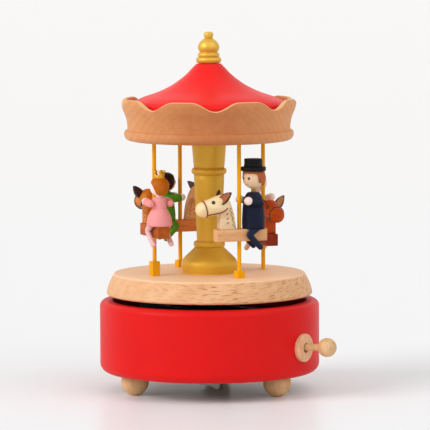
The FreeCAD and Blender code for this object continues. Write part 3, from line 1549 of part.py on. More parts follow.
def rider_crown(name, place, centre, head):
    top = "crown_level + crown_height"
    band = turned(f"{name}_crown_band", [
        ("crown_foot_radius - crown_wall", "crown_level"),
        ("crown_foot_radius", "crown_level"),
        ("crown_radius", top),
        ("crown_radius - crown_wall", top),
    ])
    notch = outline(band, f"{name}_crown_notch", "YZ_Plane", [
        ("0 - crown_notch", add(top, "crown_notch")),
        ("0", less(top, "crown_height / 2")),
        ("crown_notch", add(top, "crown_notch")),
    ])
    gap = pocket(band, f"{name}_crown_gap", notch, "2 * crown_radius")
    repeated(band, f"{name}_crown_points", gap, "crown_points")
    band.Placement = Placement(centre, Rotation())
    moved(cut(f"{name}_rider_crown", band, [head]), place, f"{name}_rider_crown")


def units():
    lift = value("cam_lift")
    kinds = {
        "front": (0, "coat", "gentleman_head_radius"),
        "left": (lift, "dress", "rider_head_radius"),
        "right": (-lift, "gown", "rider_head_radius"),
        "rear": (0, "suit", "rider_head_radius"),
    }
    for name, (rise, kind, head_radius) in kinds.items():
        pole(name, unit_place(pole_azimuths[name], rise))
        place = unit_place(pole_azimuths[name], rise, value("unit_turn"))
        bench(name, place)
        horse(name, place)
        centre, head = rider(name, place, kind, head_radius)
        if kind == "coat":
            top_hat(place, centre, head)
        if kind in gowns:
            rider_crown(name, place, centre, head)


base_drum()
bottom_plate()
screws("plate_screws", plate_screw_spots, up, "plate_screw_length")
ball_feet()
stop_lever()
cam()
platform()
column()
canopy()
roof()
finial()
drive()
bedplate()
comb()
spring_barrel()
mainspring()
cylinder()
governor_wheel()
governor_fan()
governor_frame()
winding()
units()

doc.recompute()
for feature in doc.Objects:
    if "Invalid" in feature.State or "Error" in feature.State:
        raise RuntimeError(f"{feature.Name}: {feature.State}")
for label, piece in nodes:
    if piece.Shape.isNull() or not piece.Shape.isValid() or not piece.Shape.Solids:
        raise RuntimeError(f"{label} has no valid solid")

os.makedirs("parts", exist_ok=True)
for label, piece in nodes:
    piece.Shape.exportStep(f"parts/{label}.step")
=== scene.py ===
from math import atan2, cos, degrees, pi, radians, sin

import bmesh
import bpy
from mathutils import Matrix, Vector


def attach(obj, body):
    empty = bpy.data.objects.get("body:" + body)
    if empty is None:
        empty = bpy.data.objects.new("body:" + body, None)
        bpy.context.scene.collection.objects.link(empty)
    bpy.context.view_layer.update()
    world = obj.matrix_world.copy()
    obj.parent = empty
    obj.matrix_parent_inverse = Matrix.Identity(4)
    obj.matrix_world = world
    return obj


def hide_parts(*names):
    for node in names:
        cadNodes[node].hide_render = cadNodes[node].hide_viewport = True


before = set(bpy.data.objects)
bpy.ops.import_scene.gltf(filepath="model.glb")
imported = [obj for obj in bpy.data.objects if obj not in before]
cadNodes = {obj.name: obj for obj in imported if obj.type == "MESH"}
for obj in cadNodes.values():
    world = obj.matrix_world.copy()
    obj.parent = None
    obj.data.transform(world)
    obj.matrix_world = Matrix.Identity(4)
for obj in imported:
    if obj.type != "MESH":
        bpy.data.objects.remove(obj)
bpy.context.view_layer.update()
print("frame loaded:", len(cadNodes), "CAD nodes")
millimetres = Matrix.Scale(0.001, 4)


class Look(dict):
    # a dictionary whose entries can be read as attributes
    __getattr__ = dict.__getitem__


def addObject(name, data):
    item = bpy.data.objects.new(name, data)
    bpy.context.scene.collection.objects.link(item)
    return item


def outward(azimuth, elevation=0.0):
    # the way out at an azimuth, from the front to the right, and an elevation, in degrees
    turn = radians(azimuth)
    lift = radians(elevation)
    return Vector((sin(turn) * cos(lift), -cos(turn) * cos(lift), sin(lift)))


# a long lens, a little above the platform
cameraView = Look(
    distance=1.790, elevation=5.1, aim=(0.0029, 0, 0.0883), lens=299.2, lean=-0.2, sensor=36, near=0.05, far=100,
)


def addCamera(view):
    back = outward(0, view.elevation)
    data = bpy.data.cameras.new("photoCamera")
    data.lens = view.lens
    data.sensor_width = view.sensor
    data.clip_start = view.near
    data.clip_end = view.far
    camera = addObject("photoCamera", data)
    camera.rotation_mode = "QUATERNION"
    camera.location = Vector(view.aim) + back * view.distance
    roll = Matrix.Rotation(radians(view.lean), 3, "Z")
    camera.rotation_quaternion = ((-back).to_track_quat("-Z", "Y").to_matrix() @ roll).to_quaternion()
    bpy.context.scene.camera = camera


# node helpers: values go to inputs by name or in order; a socket is linked, anything else is set

def addNode(tree, kind, values=(), **settings):
    node = tree.nodes.new(kind)
    for key, setting in settings.items():
        setattr(node, key, setting)
    for key, entry in values.items() if isinstance(values, dict) else enumerate(values):
        if isinstance(entry, bpy.types.NodeSocket):
            tree.links.new(entry, node.inputs[key])
        else:
            node.inputs[key].default_value = entry
    return node.outputs


def grow(tree, kind, values=(), **settings):
    return addNode(tree, "ShaderNode" + kind, values, **settings)


def calculate(tree, operation, *values):
    return grow(tree, "Math", values, operation=operation)[0]


def blend(tree, factor, first, second, mode="MIX"):
    return grow(tree, "Mix", {0: factor, 6: first, 7: second}, data_type="RGBA", blend_type=mode)[2]


def fade(tree, entry, low, high, start=0.0, end=1.0):
    return grow(tree, "MapRange", (entry, low, high, start, end))["Result"]


def objectPlace(tree):
    return grow(tree, "TexCoord")["Object"]


def objectAxes(tree):
    return grow(tree, "SeparateXYZ", [objectPlace(tree)])


def marked(tree, label):
    return grow(tree, "Attribute", attribute_name=label)["Fac"]


def sized(tree, size, turn=(0, 0, 0), centre=(0, 0, 0)):
    # object coordinates, turned to the grain and divided by the size of the pattern in metres
    return grow(tree, "Mapping", (objectPlace(tree), centre, turn, size), vector_type="TEXTURE")["Vector"]


def noiseOn(tree, size, turn=(0, 0, 0), detail=3.0, roughness=0.5):
    size = size if isinstance(size, tuple) else (size, size, size)
    values = {"Vector": sized(tree, size, turn), "Scale": 1.0, "Detail": detail, "Roughness": roughness}
    return grow(tree, "TexNoise", values)["Fac"]


def tone(colour):
    # a colour on screen as the linear values that shaders use
    parts = [part / 255 for part in colour]
    return [part / 12.92 if part <= 0.04045 else ((part + 0.055) / 1.055) ** 2.4 for part in parts] + [1.0]


def darker(linear, share):
    return [part * share for part in linear[:3]] + [1.0]


# finishes: each is made once, by name
finishes = {}


def startFinish(name, **sockets):
    material = bpy.data.materials.new(name)
    material.use_nodes = True
    finishes[name] = material
    shader = material.node_tree.nodes["Principled BSDF"]
    for key, number in sockets.items():
        shader.inputs[key.replace("_", " ")].default_value = number
    return material.node_tree


def endFinish(tree, colour, gloss, height, strength, depth):
    relief = grow(tree, "Bump", {"Height": height, "Strength": strength, "Distance": depth})["Normal"]
    inputs = tree.nodes["Principled BSDF"].inputs
    tree.links.new(colour, inputs["Base Color"])
    tree.links.new(relief, inputs["Normal"])
    if gloss:
        tree.links.new(gloss, inputs["Roughness"])


woodLook = Look(
    bands=(0.05, 0.0035, 0.0035), fibres=(0.012, 0.00035, 0.00035), flecks=(0.0055, 0.00036, 0.00036),
    patches=(0.03, 0.012, 0.012), relief=0.22, depth=0.00012, specular=0.14,
    rings={"Scale": 2 * pi / 20 / 0.0027, "Distortion": 3.4, "Detail": 2.0, "Detail Scale": 0.4},
    dashLength=0.0050, dashWidth=0.00044, dashSag=0.0132, dashFade=(-0.034, -0.006, 0.2, 1.0),
    topRound=0.0008,
)


def edgeDashes(tree, edge):
    # short marks laid round a turned edge by arc and level, bent up to both sides, none on the flat top
    parts = objectAxes(tree)
    turn = calculate(tree, "ARCTAN2", parts["X"], calculate(tree, "MULTIPLY", parts["Y"], -1.0))
    level = calculate(tree, "MULTIPLY_ADD", calculate(tree, "COSINE", turn), woodLook.dashSag, parts["Z"])
    level = calculate(tree, "DIVIDE", level, woodLook.dashWidth)
    arc = calculate(tree, "MULTIPLY", turn, edge.radius / woodLook.dashLength)
    vector = grow(tree, "CombineXYZ", (arc, level))["Vector"]
    marks = grow(tree, "TexNoise", {"Vector": vector, "Scale": 1.0, "Detail": 0.0})["Fac"]
    side = fade(tree, parts["Z"], edge.top, edge.top - woodLook.topRound)
    strength = calculate(tree, "MULTIPLY", side, fade(tree, parts["X"], *woodLook.dashFade))
    return calculate(tree, "MULTIPLY", fade(tree, marks, 0.615, 0.68), strength), side


def wood(name, base, late, fleck, turn, fleckShare, ringShare=0.0, pith=None, roughness=0.48, edge=None,
         rim=None):
    # timber: broad bands, growth rings, fine fibres and short dark flecks, all along the grain
    tree = startFinish(name, Specular_IOR_Level=woodLook.specular)
    bands = fade(tree, noiseOn(tree, woodLook.bands, turn, 2.0), 0.35, 0.68)
    if ringShare:
        # the end grain, ahead and behind, is darker than the sides
        end = fade(tree, calculate(tree, "ABSOLUTE", objectAxes(tree)["X"]), 0.010, 0.044, 0.85, 0.0)
        bands = calculate(tree, "MULTIPLY_ADD", bands, 0.15, end)
    colour = blend(tree, bands, tone(base), tone(late))
    if ringShare:
        values = {"Vector": sized(tree, (1, 1, 1), turn, pith), **woodLook.rings}
        rings = grow(tree, "TexWave", values, wave_type="RINGS", rings_direction="X", wave_profile="SAW")["Fac"]
        colour = blend(tree, fade(tree, rings, 0.15, 1.0, 0.0, ringShare), colour, tone(late))
    fibres = noiseOn(tree, woodLook.fibres, turn, 4.0, 0.6)
    shade = fade(tree, fibres, 0.3, 0.75, 0.93, 1.06)
    grey = grow(tree, "CombineColor", [shade] * 3)["Color"]
    colour = blend(tree, 1.0, colour, grey, "MULTIPLY")
    if edge:
        marks, side = edgeDashes(tree, edge)
        # the flat top takes a paler colour: a painted highlight
        colour = blend(tree, side, tone(edge.topColour), colour)
    else:
        marks = fade(tree, noiseOn(tree, woodLook.flecks, turn, 1.0, 0.4), 0.60, 0.67)
    patches = fade(tree, noiseOn(tree, woodLook.patches, turn, 1.0), 0.36, 0.60, 0.7 if edge else 0.25, 1.0)
    mask = calculate(tree, "MULTIPLY", calculate(tree, "MULTIPLY", marks, patches), fleckShare)
    colour = blend(tree, mask, colour, tone(fleck))
    if rim:
        # the rim's top faces are painted paler: a painted highlight
        colour = blend(tree, marked(tree, "rim"), colour, tone(rim))
    height = calculate(tree, "SUBTRACT", fade(tree, fibres, 0.2, 0.8), mask)
    gloss = fade(tree, fibres, 0.2, 0.8, roughness - 0.06, roughness + 0.08)
    endFinish(tree, colour, gloss, height, woodLook.relief, woodLook.depth)


def paint(name, colour, roughness, drift, peel, peelDepth, grain=0.0, turn=(0, 0, 0), metallic=0.0, coat=0.0,
          specular=0.5):
    # paint or lacquer: broad drift in tone, uneven gloss, fine orange peel and a trace of the wood below
    tree = startFinish(name, Metallic=metallic, Specular_IOR_Level=specular, Coat_Weight=coat,
                       Coat_Roughness=0.22)
    broad = noiseOn(tree, 0.018, detail=2.0)
    height = noiseOn(tree, peel, detail=2.0)
    base = tone(colour)
    mixed = blend(tree, fade(tree, broad, 0.3, 0.7), base, darker(base, 1 - 2 * drift))
    if grain:
        lines = noiseOn(tree, woodLook.fibres, turn)
        mixed = blend(tree, fade(tree, lines, 0.56, 0.75, 0.0, grain), mixed, darker(base, 0.62))
        height = calculate(tree, "ADD", height, lines)
    gloss = fade(tree, broad, 0.2, 0.8, roughness - 0.05, roughness + 0.06)
    endFinish(tree, mixed, gloss, height, 0.25, peelDepth)


def metal(name, colour, roughness, lines=(0.0002, 0.004, 0.004)):
    # drawn or ground metal: hair lines in the gloss and slight stains
    tree = startFinish(name, Metallic=1.0)
    hairs = noiseOn(tree, lines)
    base = tone(colour)
    stained = blend(tree, fade(tree, noiseOn(tree, 0.006), 0.45, 0.8), base, darker(base, 0.72))
    gloss = fade(tree, hairs, 0.25, 0.75, roughness - 0.08, roughness + 0.12)
    endFinish(tree, stained, gloss, hairs, 0.15, 0.00004)


def earStain(name, hollow, rim):
    # stained hollow inside a burnt rim
    tree = startFinish(name, Specular_IOR_Level=0.25, Roughness=0.5)
    fibres = noiseOn(tree, (0.0004, 0.0004, 0.003))
    stain = blend(tree, fade(tree, fibres, 0.3, 0.75), tone(hollow), tone([part * 0.8 for part in hollow]))
    colour = blend(tree, fade(tree, marked(tree, "rim"), 0.34, 0.52), stain, tone(rim))
    endFinish(tree, colour, None, fibres, 0.25, 0.00008)


def skin(name, colour, glow):
    # painted wood with a soft blush on the cheeks and a trace of grain
    tree = startFinish(name, Specular_IOR_Level=0.25)
    lines = noiseOn(tree, (0.0006, 0.0006, 0.005))
    base = tone(colour)
    mixed = blend(tree, fade(tree, lines, 0.35, 0.75), base, darker(base, 0.93))
    mixed = blend(tree, fade(tree, marked(tree, "blush"), 0.0, 1.0, 0.0, 0.35), mixed, tone(glow))
    gloss = fade(tree, noiseOn(tree, 0.004, detail=2.0), 0.2, 0.8, 0.42, 0.56)
    endFinish(tree, mixed, gloss, lines, 0.12, 0.00005)


def combed(name, colour, deep, gloss):
    # combed, varnished hair: strands down from the crown and a soft gloss
    tree = startFinish(name, Specular_IOR_Level=0.1, Coat_Weight=gloss, Coat_Roughness=0.2)
    strands = noiseOn(tree, (0.0004, 0.0004, 0.004), detail=4.0, roughness=0.6)
    broad = noiseOn(tree, 0.005, detail=2.0)
    mixed = blend(tree, fade(tree, strands, 0.32, 0.7), tone(colour), tone(deep))
    mixed = blend(tree, fade(tree, broad, 0.4, 0.8, 0.0, 0.35), mixed, tone(deep))
    endFinish(tree, mixed, fade(tree, strands, 0.25, 0.75, 0.34, 0.5), strands, 0.3, 0.0001)


# where each rider's unit stands, as in the CAD
unitPlaces = Look(
    front=Look(azimuth=28.6, lift=0.0, benchRise=17.85),
    right=Look(azimuth=118.6, lift=-3.6, benchRise=15.9),
    rear=Look(azimuth=208.6, lift=0.0, benchRise=17.6),
    left=Look(azimuth=-61.4, lift=3.6, benchRise=15.4),
)
unitFrame = Look(poleCircle=31.0, blockTop=63.0, benchHalf=3.0, turnIn=8.0)


def unitTurn(unit):
    return radians(unitPlaces[unit].azimuth - unitFrame.turnIn) + pi


def unitMatrix(unit):
    # millimetres round the pole, x ahead, y outwards, level 0 on the seat, to metres in the frame
    place = unitPlaces[unit]
    spot = outward(place.azimuth) * unitFrame.poleCircle
    spot.z = unitFrame.blockTop + place.lift + place.benchRise + unitFrame.benchHalf
    return millimetres @ Matrix.Translation(spot) @ Matrix.Rotation(unitTurn(unit), 4, "Z")


along = {unit: (0, 0, unitTurn(unit)) for unit in unitPlaces}
upright = (0, 1.57, 0)
platformGrain = (0.0, -0.42, 0.08)  # the platform's board is cut a little across its grain
# the platform's flat top is painted paler than its sides: a painted highlight for the light on the top
platformEdge = Look(radius=0.0499, top=0.0592, topColour=(248, 203, 160))
canopyGrain = (0.0, 0.05, -1.5)
canopyPith = (-0.001, 0.0, 0.119)

# woods: early, late and fleck colour, turn of the grain and share of flecks
wood("platformBeech", (232, 181, 136), (224, 169, 122), (160, 100, 60), platformGrain, 0.75, edge=platformEdge)
# the canopy's rim colour is a painted highlight on the rim's top faces
wood("canopyBeech", (228, 162, 108), (192, 118, 70), (150, 88, 50), canopyGrain, 0.3, 0.26, canopyPith,
     rim=(234, 180, 126))
wood("paleBeech", (228, 188, 140), (212, 168, 118), (166, 112, 70), (0, 1.2, 0.4), 0.5)
wood("discBeech", (240, 190, 150), (228, 172, 128), (176, 116, 80), (0, 1.4, 0.2), 0.4)
wood("fibreboard", (128, 98, 70), (112, 84, 58), (70, 50, 34), (0, 0, 0.7), 0.5, roughness=0.7)
wood("frontBench", (234, 180, 130), (218, 156, 104), (168, 106, 62), along["front"], 0.55)
wood("leftBench", (188, 94, 30), (164, 74, 22), (104, 44, 18), along["left"], 0.5)
wood("rightBench", (148, 46, 12), (122, 34, 8), (76, 22, 8), along["right"], 0.5)
wood("rearBench", (230, 144, 76), (210, 120, 58), (114, 56, 24), along["rear"], 0.5)
wood("creamWood", (248, 222, 174), (240, 208, 156), (200, 160, 108), along["front"], 0.3)
# the front horse's neck: its own darker streaks and flecks, and a painted shade from the head above it
wood("shadedCreamNeck", (238, 206, 164), (226, 188, 144), (180, 138, 96), along["front"], 0.5)
wood("leftWood", (214, 124, 34), (188, 98, 24), (112, 54, 18), along["left"], 0.55)
wood("rightWood", (194, 78, 12), (170, 60, 8), (96, 32, 8), along["right"], 0.45)
wood("rearWood", (240, 186, 124), (222, 160, 98), (150, 96, 54), along["rear"], 0.9)
# the front rider's neck dowel: bare wood, painted darker as a painted shade under his head
wood("shadedNeckWood", (196, 136, 62), (172, 112, 44), (120, 72, 28), upright, 0.3)
# paints: colour, roughness, drift in tone, size and depth of the orange peel
paint("redLacquer", (222, 22, 20), 0.42, 0.03, 0.0011, 0.00004, specular=0.12)
# the roof's red is the drum's lacquer painted lighter: a painted highlight for the light from above
paint("roofLacquerLitCopy", (242, 34, 30), 0.38, 0.03, 0.0011, 0.00004, specular=0.16)
paint("goldPaint", (232, 183, 58), 0.46, 0.05, 0.0005, 0.00005, metallic=0.3, specular=0.35)
paint("finialGold", (228, 181, 70), 0.43, 0.05, 0.0005, 0.00005, metallic=0.5, specular=0.4)
paint("crownGold", (222, 166, 38), 0.32, 0.08, 0.0004, 0.00004, metallic=0.5, specular=0.4)
paint("yellowPaint", (246, 174, 4), 0.44, 0.06, 0.0008, 0.00005, grain=0.25, turn=upright, specular=0.13)
paint("darkPlastic", (22, 19, 19), 0.55, 0.1, 0.0004, 0.00005, specular=0.2)
paint("navyCloth", (22, 27, 50), 0.5, 0.08, 0.0007, 0.00006, specular=0.14)
paint("navyTrousers", (27, 36, 60), 0.5, 0.1, 0.0007, 0.00006, grain=0.5, specular=0.14)
paint("blackFelt", (18, 18, 19), 0.5, 0.1, 0.0005, 0.00006, specular=0.13)
for name, colour in (("pinkPaint", (240, 152, 150)), ("palePinkPaint", (247, 206, 200))):
    paint(name, colour, 0.52, 0.05, 0.0008, 0.00006, specular=0.25)
for name, colour in (("stockings", (238, 186, 184)), ("paleLegs", (244, 216, 204))):
    paint(name, colour, 0.5, 0.05, 0.0008, 0.00006, grain=0.3)
paint("greenPaint", (86, 150, 30), 0.5, 0.08, 0.0008, 0.00006, specular=0.13)
paint("handPaint", (250, 224, 214), 0.48, 0.03, 0.0008, 0.00004, specular=0.3)
paint("lipPaint", (196, 108, 92), 0.5, 0.08, 0.0004, 0.00003)
paint("eyeBlack", (14, 13, 14), 0.22, 0.1, 0.0006, 0.00002, coat=0.4)
for name, colour in (("bridleRed", (134, 50, 40)), ("bridleBrown", (92, 40, 26))):
    paint(name, colour, 0.5, 0.1, 0.0004, 0.00004)
for name, colour in (("burntMane", (86, 52, 32)), ("burntDark", (70, 34, 18)), ("combedMane", (172, 132, 98)),
                     ("combedTan", (168, 108, 62))):
    paint(name, colour, 0.6, 0.12, 0.0004, 0.00004)
metal("brass", (214, 172, 92), 0.28)
metal("steel", (176, 176, 178), 0.30)
metal("nickel", (206, 202, 196), 0.20, (0.004, 0.004, 0.0002))
metal("castMetal", (118, 118, 122), 0.48, (0.0006, 0.0006, 0.0006))
earStain("frontEar", (176, 104, 60), (72, 34, 25))
earStain("leftEar", (92, 46, 34), (64, 32, 26))
earStain("rightEar", (188, 122, 66), (92, 48, 26))
earStain("rearEar", (140, 92, 54), (84, 50, 30))
skin("frontSkin", (236, 202, 162), (236, 170, 140))
skin("paleSkin", (252, 232, 222), (246, 190, 186))
skin("rearSkin", (226, 168, 122), (216, 130, 100))
combed("chestnutHair", (196, 108, 64), (150, 72, 38), 0.04)
combed("amberHair", (204, 110, 6), (164, 78, 3), 0.08)
combed("darkHair", (46, 25, 18), (26, 14, 10), 0.15)

# the finishes of the CAD nodes that stay
nodeFinishes = {
    "redLacquer": "base_drum", "platformBeech": "platform", "fibreboard": "bottom_plate",
    "paleBeech": "right_ball_foot rear_ball_foot left_ball_foot lever_stem lever_knob",
    "discBeech": "lever_escutcheon", "darkPlastic": "cam_plate cam_track", "castMetal": "movement_bedplate",
    "brass": "lever_bush spring_barrel pin_cylinder governor_wheel governor_frame", "nickel": "winding_key",
    "steel": "lever_pin drive_shaft hub_screws plate_screws movement_screws comb comb_screws mainspring "
             "cylinder_arbor governor_fan winding_arbor",
    "yellowPaint": "front_pole right_pole rear_pole left_pole", "frontBench": "front_bench",
    "rightBench": "right_bench", "rearBench": "rear_bench", "leftBench": "left_bench",
}
for finishName, nodeNames in nodeFinishes.items():
    for nodeName in nodeNames.split():
        mesh = cadNodes[nodeName].data
        mesh.materials.clear()
        mesh.materials.append(finishes[finishName])

# how many finishes were made
print("finishes:", len(finishes))


# mesh helpers: a shape is a pair of lists, points in millimetres and faces

def smoothLine(points, steps=6, closed=False):
    # a soft line through the points; a point in square brackets is a corner, so it counts twice
    points = [Vector(point) for point in points for repeat in range(1 + isinstance(point, list))]
    count = len(points)
    line = []
    for index in range(count if closed else count - 1):
        before = points[index - 1] if closed or index else points[0]
        start = points[index]
        end = points[(index + 1) % count]
        after = points[(index + 2) % count] if closed or index + 2 < count else points[-1]
        if (end - start).length < 1e-6:
            continue
        for step in range(steps):
            t = step / steps
            line.append(0.5 * (2 * start + (end - before) * t + (2 * before - 5 * start + 4 * end - after) * t * t
                               + (3 * start - before - 3 * end + after) * t ** 3))
    return line if closed else line + [points[-1]]


def readLine(line, level, ease=False):
    # the value at a level on a line of (value, level) pairs that rises
    for (first, low), (second, high) in zip(line, line[1:]):
        if low <= level <= high and low < high:
            share = (level - low) / (high - low)
            return first + (second - first) * (share * share * (3 - 2 * share) if ease else share)
    return line[-1][0]


def quarter(count):
    return [pi / 2 * index / count for index in range(count + 1)]


def circle(count):
    turns = [2 * pi * index / count for index in range(count)]
    return [(cos(turn), sin(turn)) for turn in turns]


def ringShape(rings, capped=True):
    # rings of equal length joined into a skin, each end closed by a fan
    count = len(rings[0])
    points = [point for ring in rings for point in ring]
    last = len(points) - count
    faces = []
    for low in range(0, last, count):
        for index in range(count):
            after = (index + 1) % count
            faces.append((low + index, low + after, low + count + after, low + count + index))
    for start in (0, last) if capped else ():
        points.append(sum(points[start:start + count], Vector((0, 0, 0))) / count)
        for index in range(count):
            pair = (start + index, start + (index + 1) % count)
            faces.append((pair if start else pair[::-1]) + (len(points) - 1,))
    return points, faces


def lathe(profile, place=Matrix(), segments=72, squash=1.0):
    # profile points are (radius, level)
    rings = []
    for radius, level in profile:
        rings.append([place @ Vector((radius * x, squash * radius * y, level)) for x, y in circle(segments)])
    return ringShape(rings)


def tubeAlong(line, radii, segments=28):
    # a round limb along a line, with round ends
    rings = []
    side = Vector((0, 1, 0.02))
    last = len(line) - 1
    endTurns = (0.12, 0.45, 0.8, 1.2)
    for index, point in enumerate(line):
        ahead = (line[min(index + 1, last)] - line[max(index - 1, 0)]).normalized()
        side = (side - ahead * side.dot(ahead)).normalized()
        other = ahead.cross(side)
        spans = [(0.0, 1.0)]
        if index == 0:
            spans = [(-cos(turn), sin(turn)) for turn in endTurns] + spans
        if index == last:
            spans += [(cos(turn), sin(turn)) for turn in endTurns[::-1]]
        for reach, share in spans:
            centre = point + ahead * reach * radii[index]
            rings.append([centre + (side * x + other * y) * radii[index] * share for x, y in circle(segments)])
    return ringShape(rings)


def platePiece(edge, half, soft, steps=4):
    # a flat board across y with softened edges; its edge is a list of (x, z), anticlockwise
    edge = [Vector((x, 0, z)) for x, z in edge[::-1]]
    count = len(edge)
    inward = []
    for index in range(count):
        ahead = (edge[(index + 1) % count] - edge[index - 1]).normalized()
        inward.append(Vector((ahead.z, 0, -ahead.x)))
    rings = []
    for side in (-1, 1):
        for turn in quarter(steps)[::-side]:
            inset = soft * (1 - sin(turn))
            across = Vector((0, side * (half - soft * (1 - cos(turn))), 0))
            rings.append([edge[i] + inward[i] * inset + across for i in range(count)])
    points, faces = ringShape(rings, False)
    faces.append(tuple(range(count))[::-1])
    faces.append(tuple(range(len(points) - count, len(points))))
    return points, faces


def domeOn(centre, out, radius, height, segments=20, rings=6):
    # a low round bead that sits on a surface
    place = Matrix.Translation(centre) @ out.to_track_quat("Z", "Y").to_matrix().to_4x4()
    profile = [(radius * cos(turn) + 1e-4, height * sin(turn)) for turn in quarter(rings)]
    return lathe([(radius, -height)] + profile, place, segments)


def ball(centre, radius, squash=0.94, segments=32, rings=18):
    turns = [pi * index / rings for index in range(rings + 1)]
    profile = [(radius * sin(turn) + 1e-4, -radius * squash * cos(turn)) for turn in turns]
    return lathe(profile, Matrix.Translation(centre), segments)


def shapeMesh(name, shapes, place):
    mesh = bpy.data.meshes.new(name)
    points = []
    faces = []
    for shapePoints, shapeFaces in shapes:
        start = len(points)
        points += [place @ point for point in shapePoints]
        faces += [tuple(start + corner for corner in face) for face in shapeFaces]
    mesh.from_pydata(points, [], faces)
    return mesh


def addMarks(mesh, label, values):
    mesh.attributes.new(label, "FLOAT", "POINT").data.foreach_set("value", values)


def settle(piece, body, replaced):
    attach(piece, body)
    if replaced:
        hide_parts(*replaced)
    return piece


def keepResult(piece):
    # the modifiers' result as a plain mesh
    result = bpy.data.meshes.new_from_object(piece.evaluated_get(bpy.context.evaluated_depsgraph_get()))
    piece.modifiers.clear()
    piece.data = result


def makePiece(name, body, shapes, finish, place=millimetres, replaced=(), crease=None, rim=None):
    mesh = shapeMesh(name, shapes, place)
    if rim:
        addMarks(mesh, "rim", rim)
    work = bmesh.new()
    work.from_mesh(mesh)
    bmesh.ops.remove_doubles(work, verts=work.verts, dist=2e-7)
    bmesh.ops.recalc_face_normals(work, faces=work.faces)
    work.to_mesh(mesh)
    work.free()
    mesh.shade_smooth()
    if crease:
        mesh.set_sharp_from_angle(angle=radians(crease))
    mesh.materials.append(finishes[finish])
    return settle(addObject(name, mesh), body, replaced)


# geometry nodes for what repeats or follows a path

def startTree(name, *numbers):
    tree = bpy.data.node_groups.new(name, "GeometryNodeTree")
    sockets = {"Geometry": "Geometry", "Material": "Material", **{label: "Float" for label in numbers}}
    for label, kind in sockets.items():
        tree.interface.new_socket(label, in_out="INPUT", socket_type="NodeSocket" + kind)
    tree.interface.new_socket("Geometry", in_out="OUTPUT", socket_type="NodeSocketGeometry")
    return tree, tree.nodes.new("NodeGroupInput").outputs


def step(tree, kind, values=(), **settings):
    return addNode(tree, "GeometryNode" + kind, values, **settings)


def endTree(tree, given, geometry):
    whole = step(tree, "RealizeInstances", [geometry])["Geometry"]
    soft = step(tree, "SetShadeSmooth", [whole])["Geometry"]
    done = step(tree, "SetMaterial", {"Geometry": soft, "Material": given["Material"]})["Geometry"]
    tree.links.new(done, tree.nodes.new("NodeGroupOutput").inputs["Geometry"])
    return tree


def named(tree, label, kind="FLOAT"):
    return step(tree, "InputNamedAttribute", [label], data_type=kind)["Attribute"]


def cordTree():
    # a fine round line along each edge path
    tree, given = startTree("lineOnPath", "Radius")
    path = step(tree, "MeshToCurve", [given["Geometry"]])["Curve"]
    ring = step(tree, "CurvePrimitiveCircle", {"Resolution": 8, "Radius": given["Radius"]})["Curve"]
    tube = step(tree, "CurveToMesh", {"Curve": path, "Profile Curve": ring, "Fill Caps": True})["Mesh"]
    return endTree(tree, given, tube)


def strokeTree():
    # a burnt stroke on each point, along its own line and on its own face
    tree, given = startTree("burntStrokes", "Width", "Height")
    dash = step(tree, "MeshUVSphere", {"Segments": 8, "Rings": 5, "Radius": 1.0})["Mesh"]
    align = "FunctionNodeAlignRotationToVector"
    turn = addNode(tree, align, {"Vector": named(tree, "aim", "FLOAT_VECTOR")}, axis="X")["Rotation"]
    values = {"Rotation": turn, "Vector": named(tree, "out", "FLOAT_VECTOR")}
    turn = addNode(tree, align, values, axis="Z", pivot_axis="X")["Rotation"]
    size = grow(tree, "CombineXYZ", (named(tree, "reach"), given["Width"], given["Height"]))["Vector"]
    values = {"Points": given["Geometry"], "Instance": dash, "Rotation": turn, "Scale": size}
    return endTree(tree, given, step(tree, "InstanceOnPoints", values)["Instances"])


def beadTree():
    # a small round bead on each point, with its own size
    tree, given = startTree("crownBeads")
    bead = step(tree, "MeshIcoSphere", {"Radius": 1.0, "Subdivisions": 3})["Mesh"]
    values = {"Points": given["Geometry"], "Instance": bead, "Scale": named(tree, "size")}
    return endTree(tree, given, step(tree, "InstanceOnPoints", values)["Instances"])


def grown(unit, tree, mesh, finish, replaced=(), **sizes):
    # runs a tree on a mesh, with its sizes in millimetres
    piece = addObject(mesh.name, mesh)
    modifier = piece.modifiers.new("grow", "NODES")
    modifier.node_group = tree
    settings = {label: size * 0.001 for label, size in sizes.items()}
    settings["Material"] = finishes[finish]
    for item in tree.interface.items_tree:
        if item.in_out == "INPUT" and item.name in settings:
            modifier[item.identifier] = settings[item.name]
    keepResult(piece)
    settle(piece, f"{unit}_rider", replaced)


lineTree = cordTree()
burntTree = strokeTree()
crownBeads = beadTree()


# pieces of a rider's unit, given in millimetres round its pole

def unitPiece(unit, name, shapes, finish, node=None, rim=None):
    replaced = [f"{unit}_{node}"] if node else ()
    return makePiece(unit + name, f"{unit}_rider", shapes, finish, unitMatrix(unit), replaced, rim=rim)


def unitMesh(unit, name, points, edges=()):
    mesh = bpy.data.meshes.new(unit + name)
    mesh.from_pydata([unitMatrix(unit) @ Vector(point) for point in points], edges, [])
    return mesh


def linePiece(unit, name, paths, radius, finish):
    points = []
    edges = []
    for path, closed in paths:
        start = len(points)
        points += path
        edges += [(start + i, start + i + 1) for i in range(len(path) - 1)]
        if closed:
            edges.append((len(points) - 1, start))
    grown(unit, lineTree, unitMesh(unit, name, points, edges), finish, Radius=radius)


def strokePiece(unit, name, strokes, width, height, finish):
    # each stroke is its spot, its aim, the way out of its face and its reach
    spots, aims, outs, reaches = zip(*strokes)
    mesh = unitMesh(unit, name, spots)
    turn = unitMatrix(unit).to_3x3()
    for label, ways in (("aim", aims), ("out", outs)):
        parts = [part for way in ways for part in (turn @ Vector(way)).normalized()]
        mesh.attributes.new(label, "FLOAT_VECTOR", "POINT").data.foreach_set("vector", parts)
    addMarks(mesh, "reach", [reach * 0.001 for reach in reaches])
    grown(unit, burntTree, mesh, finish, Width=width, Height=height)


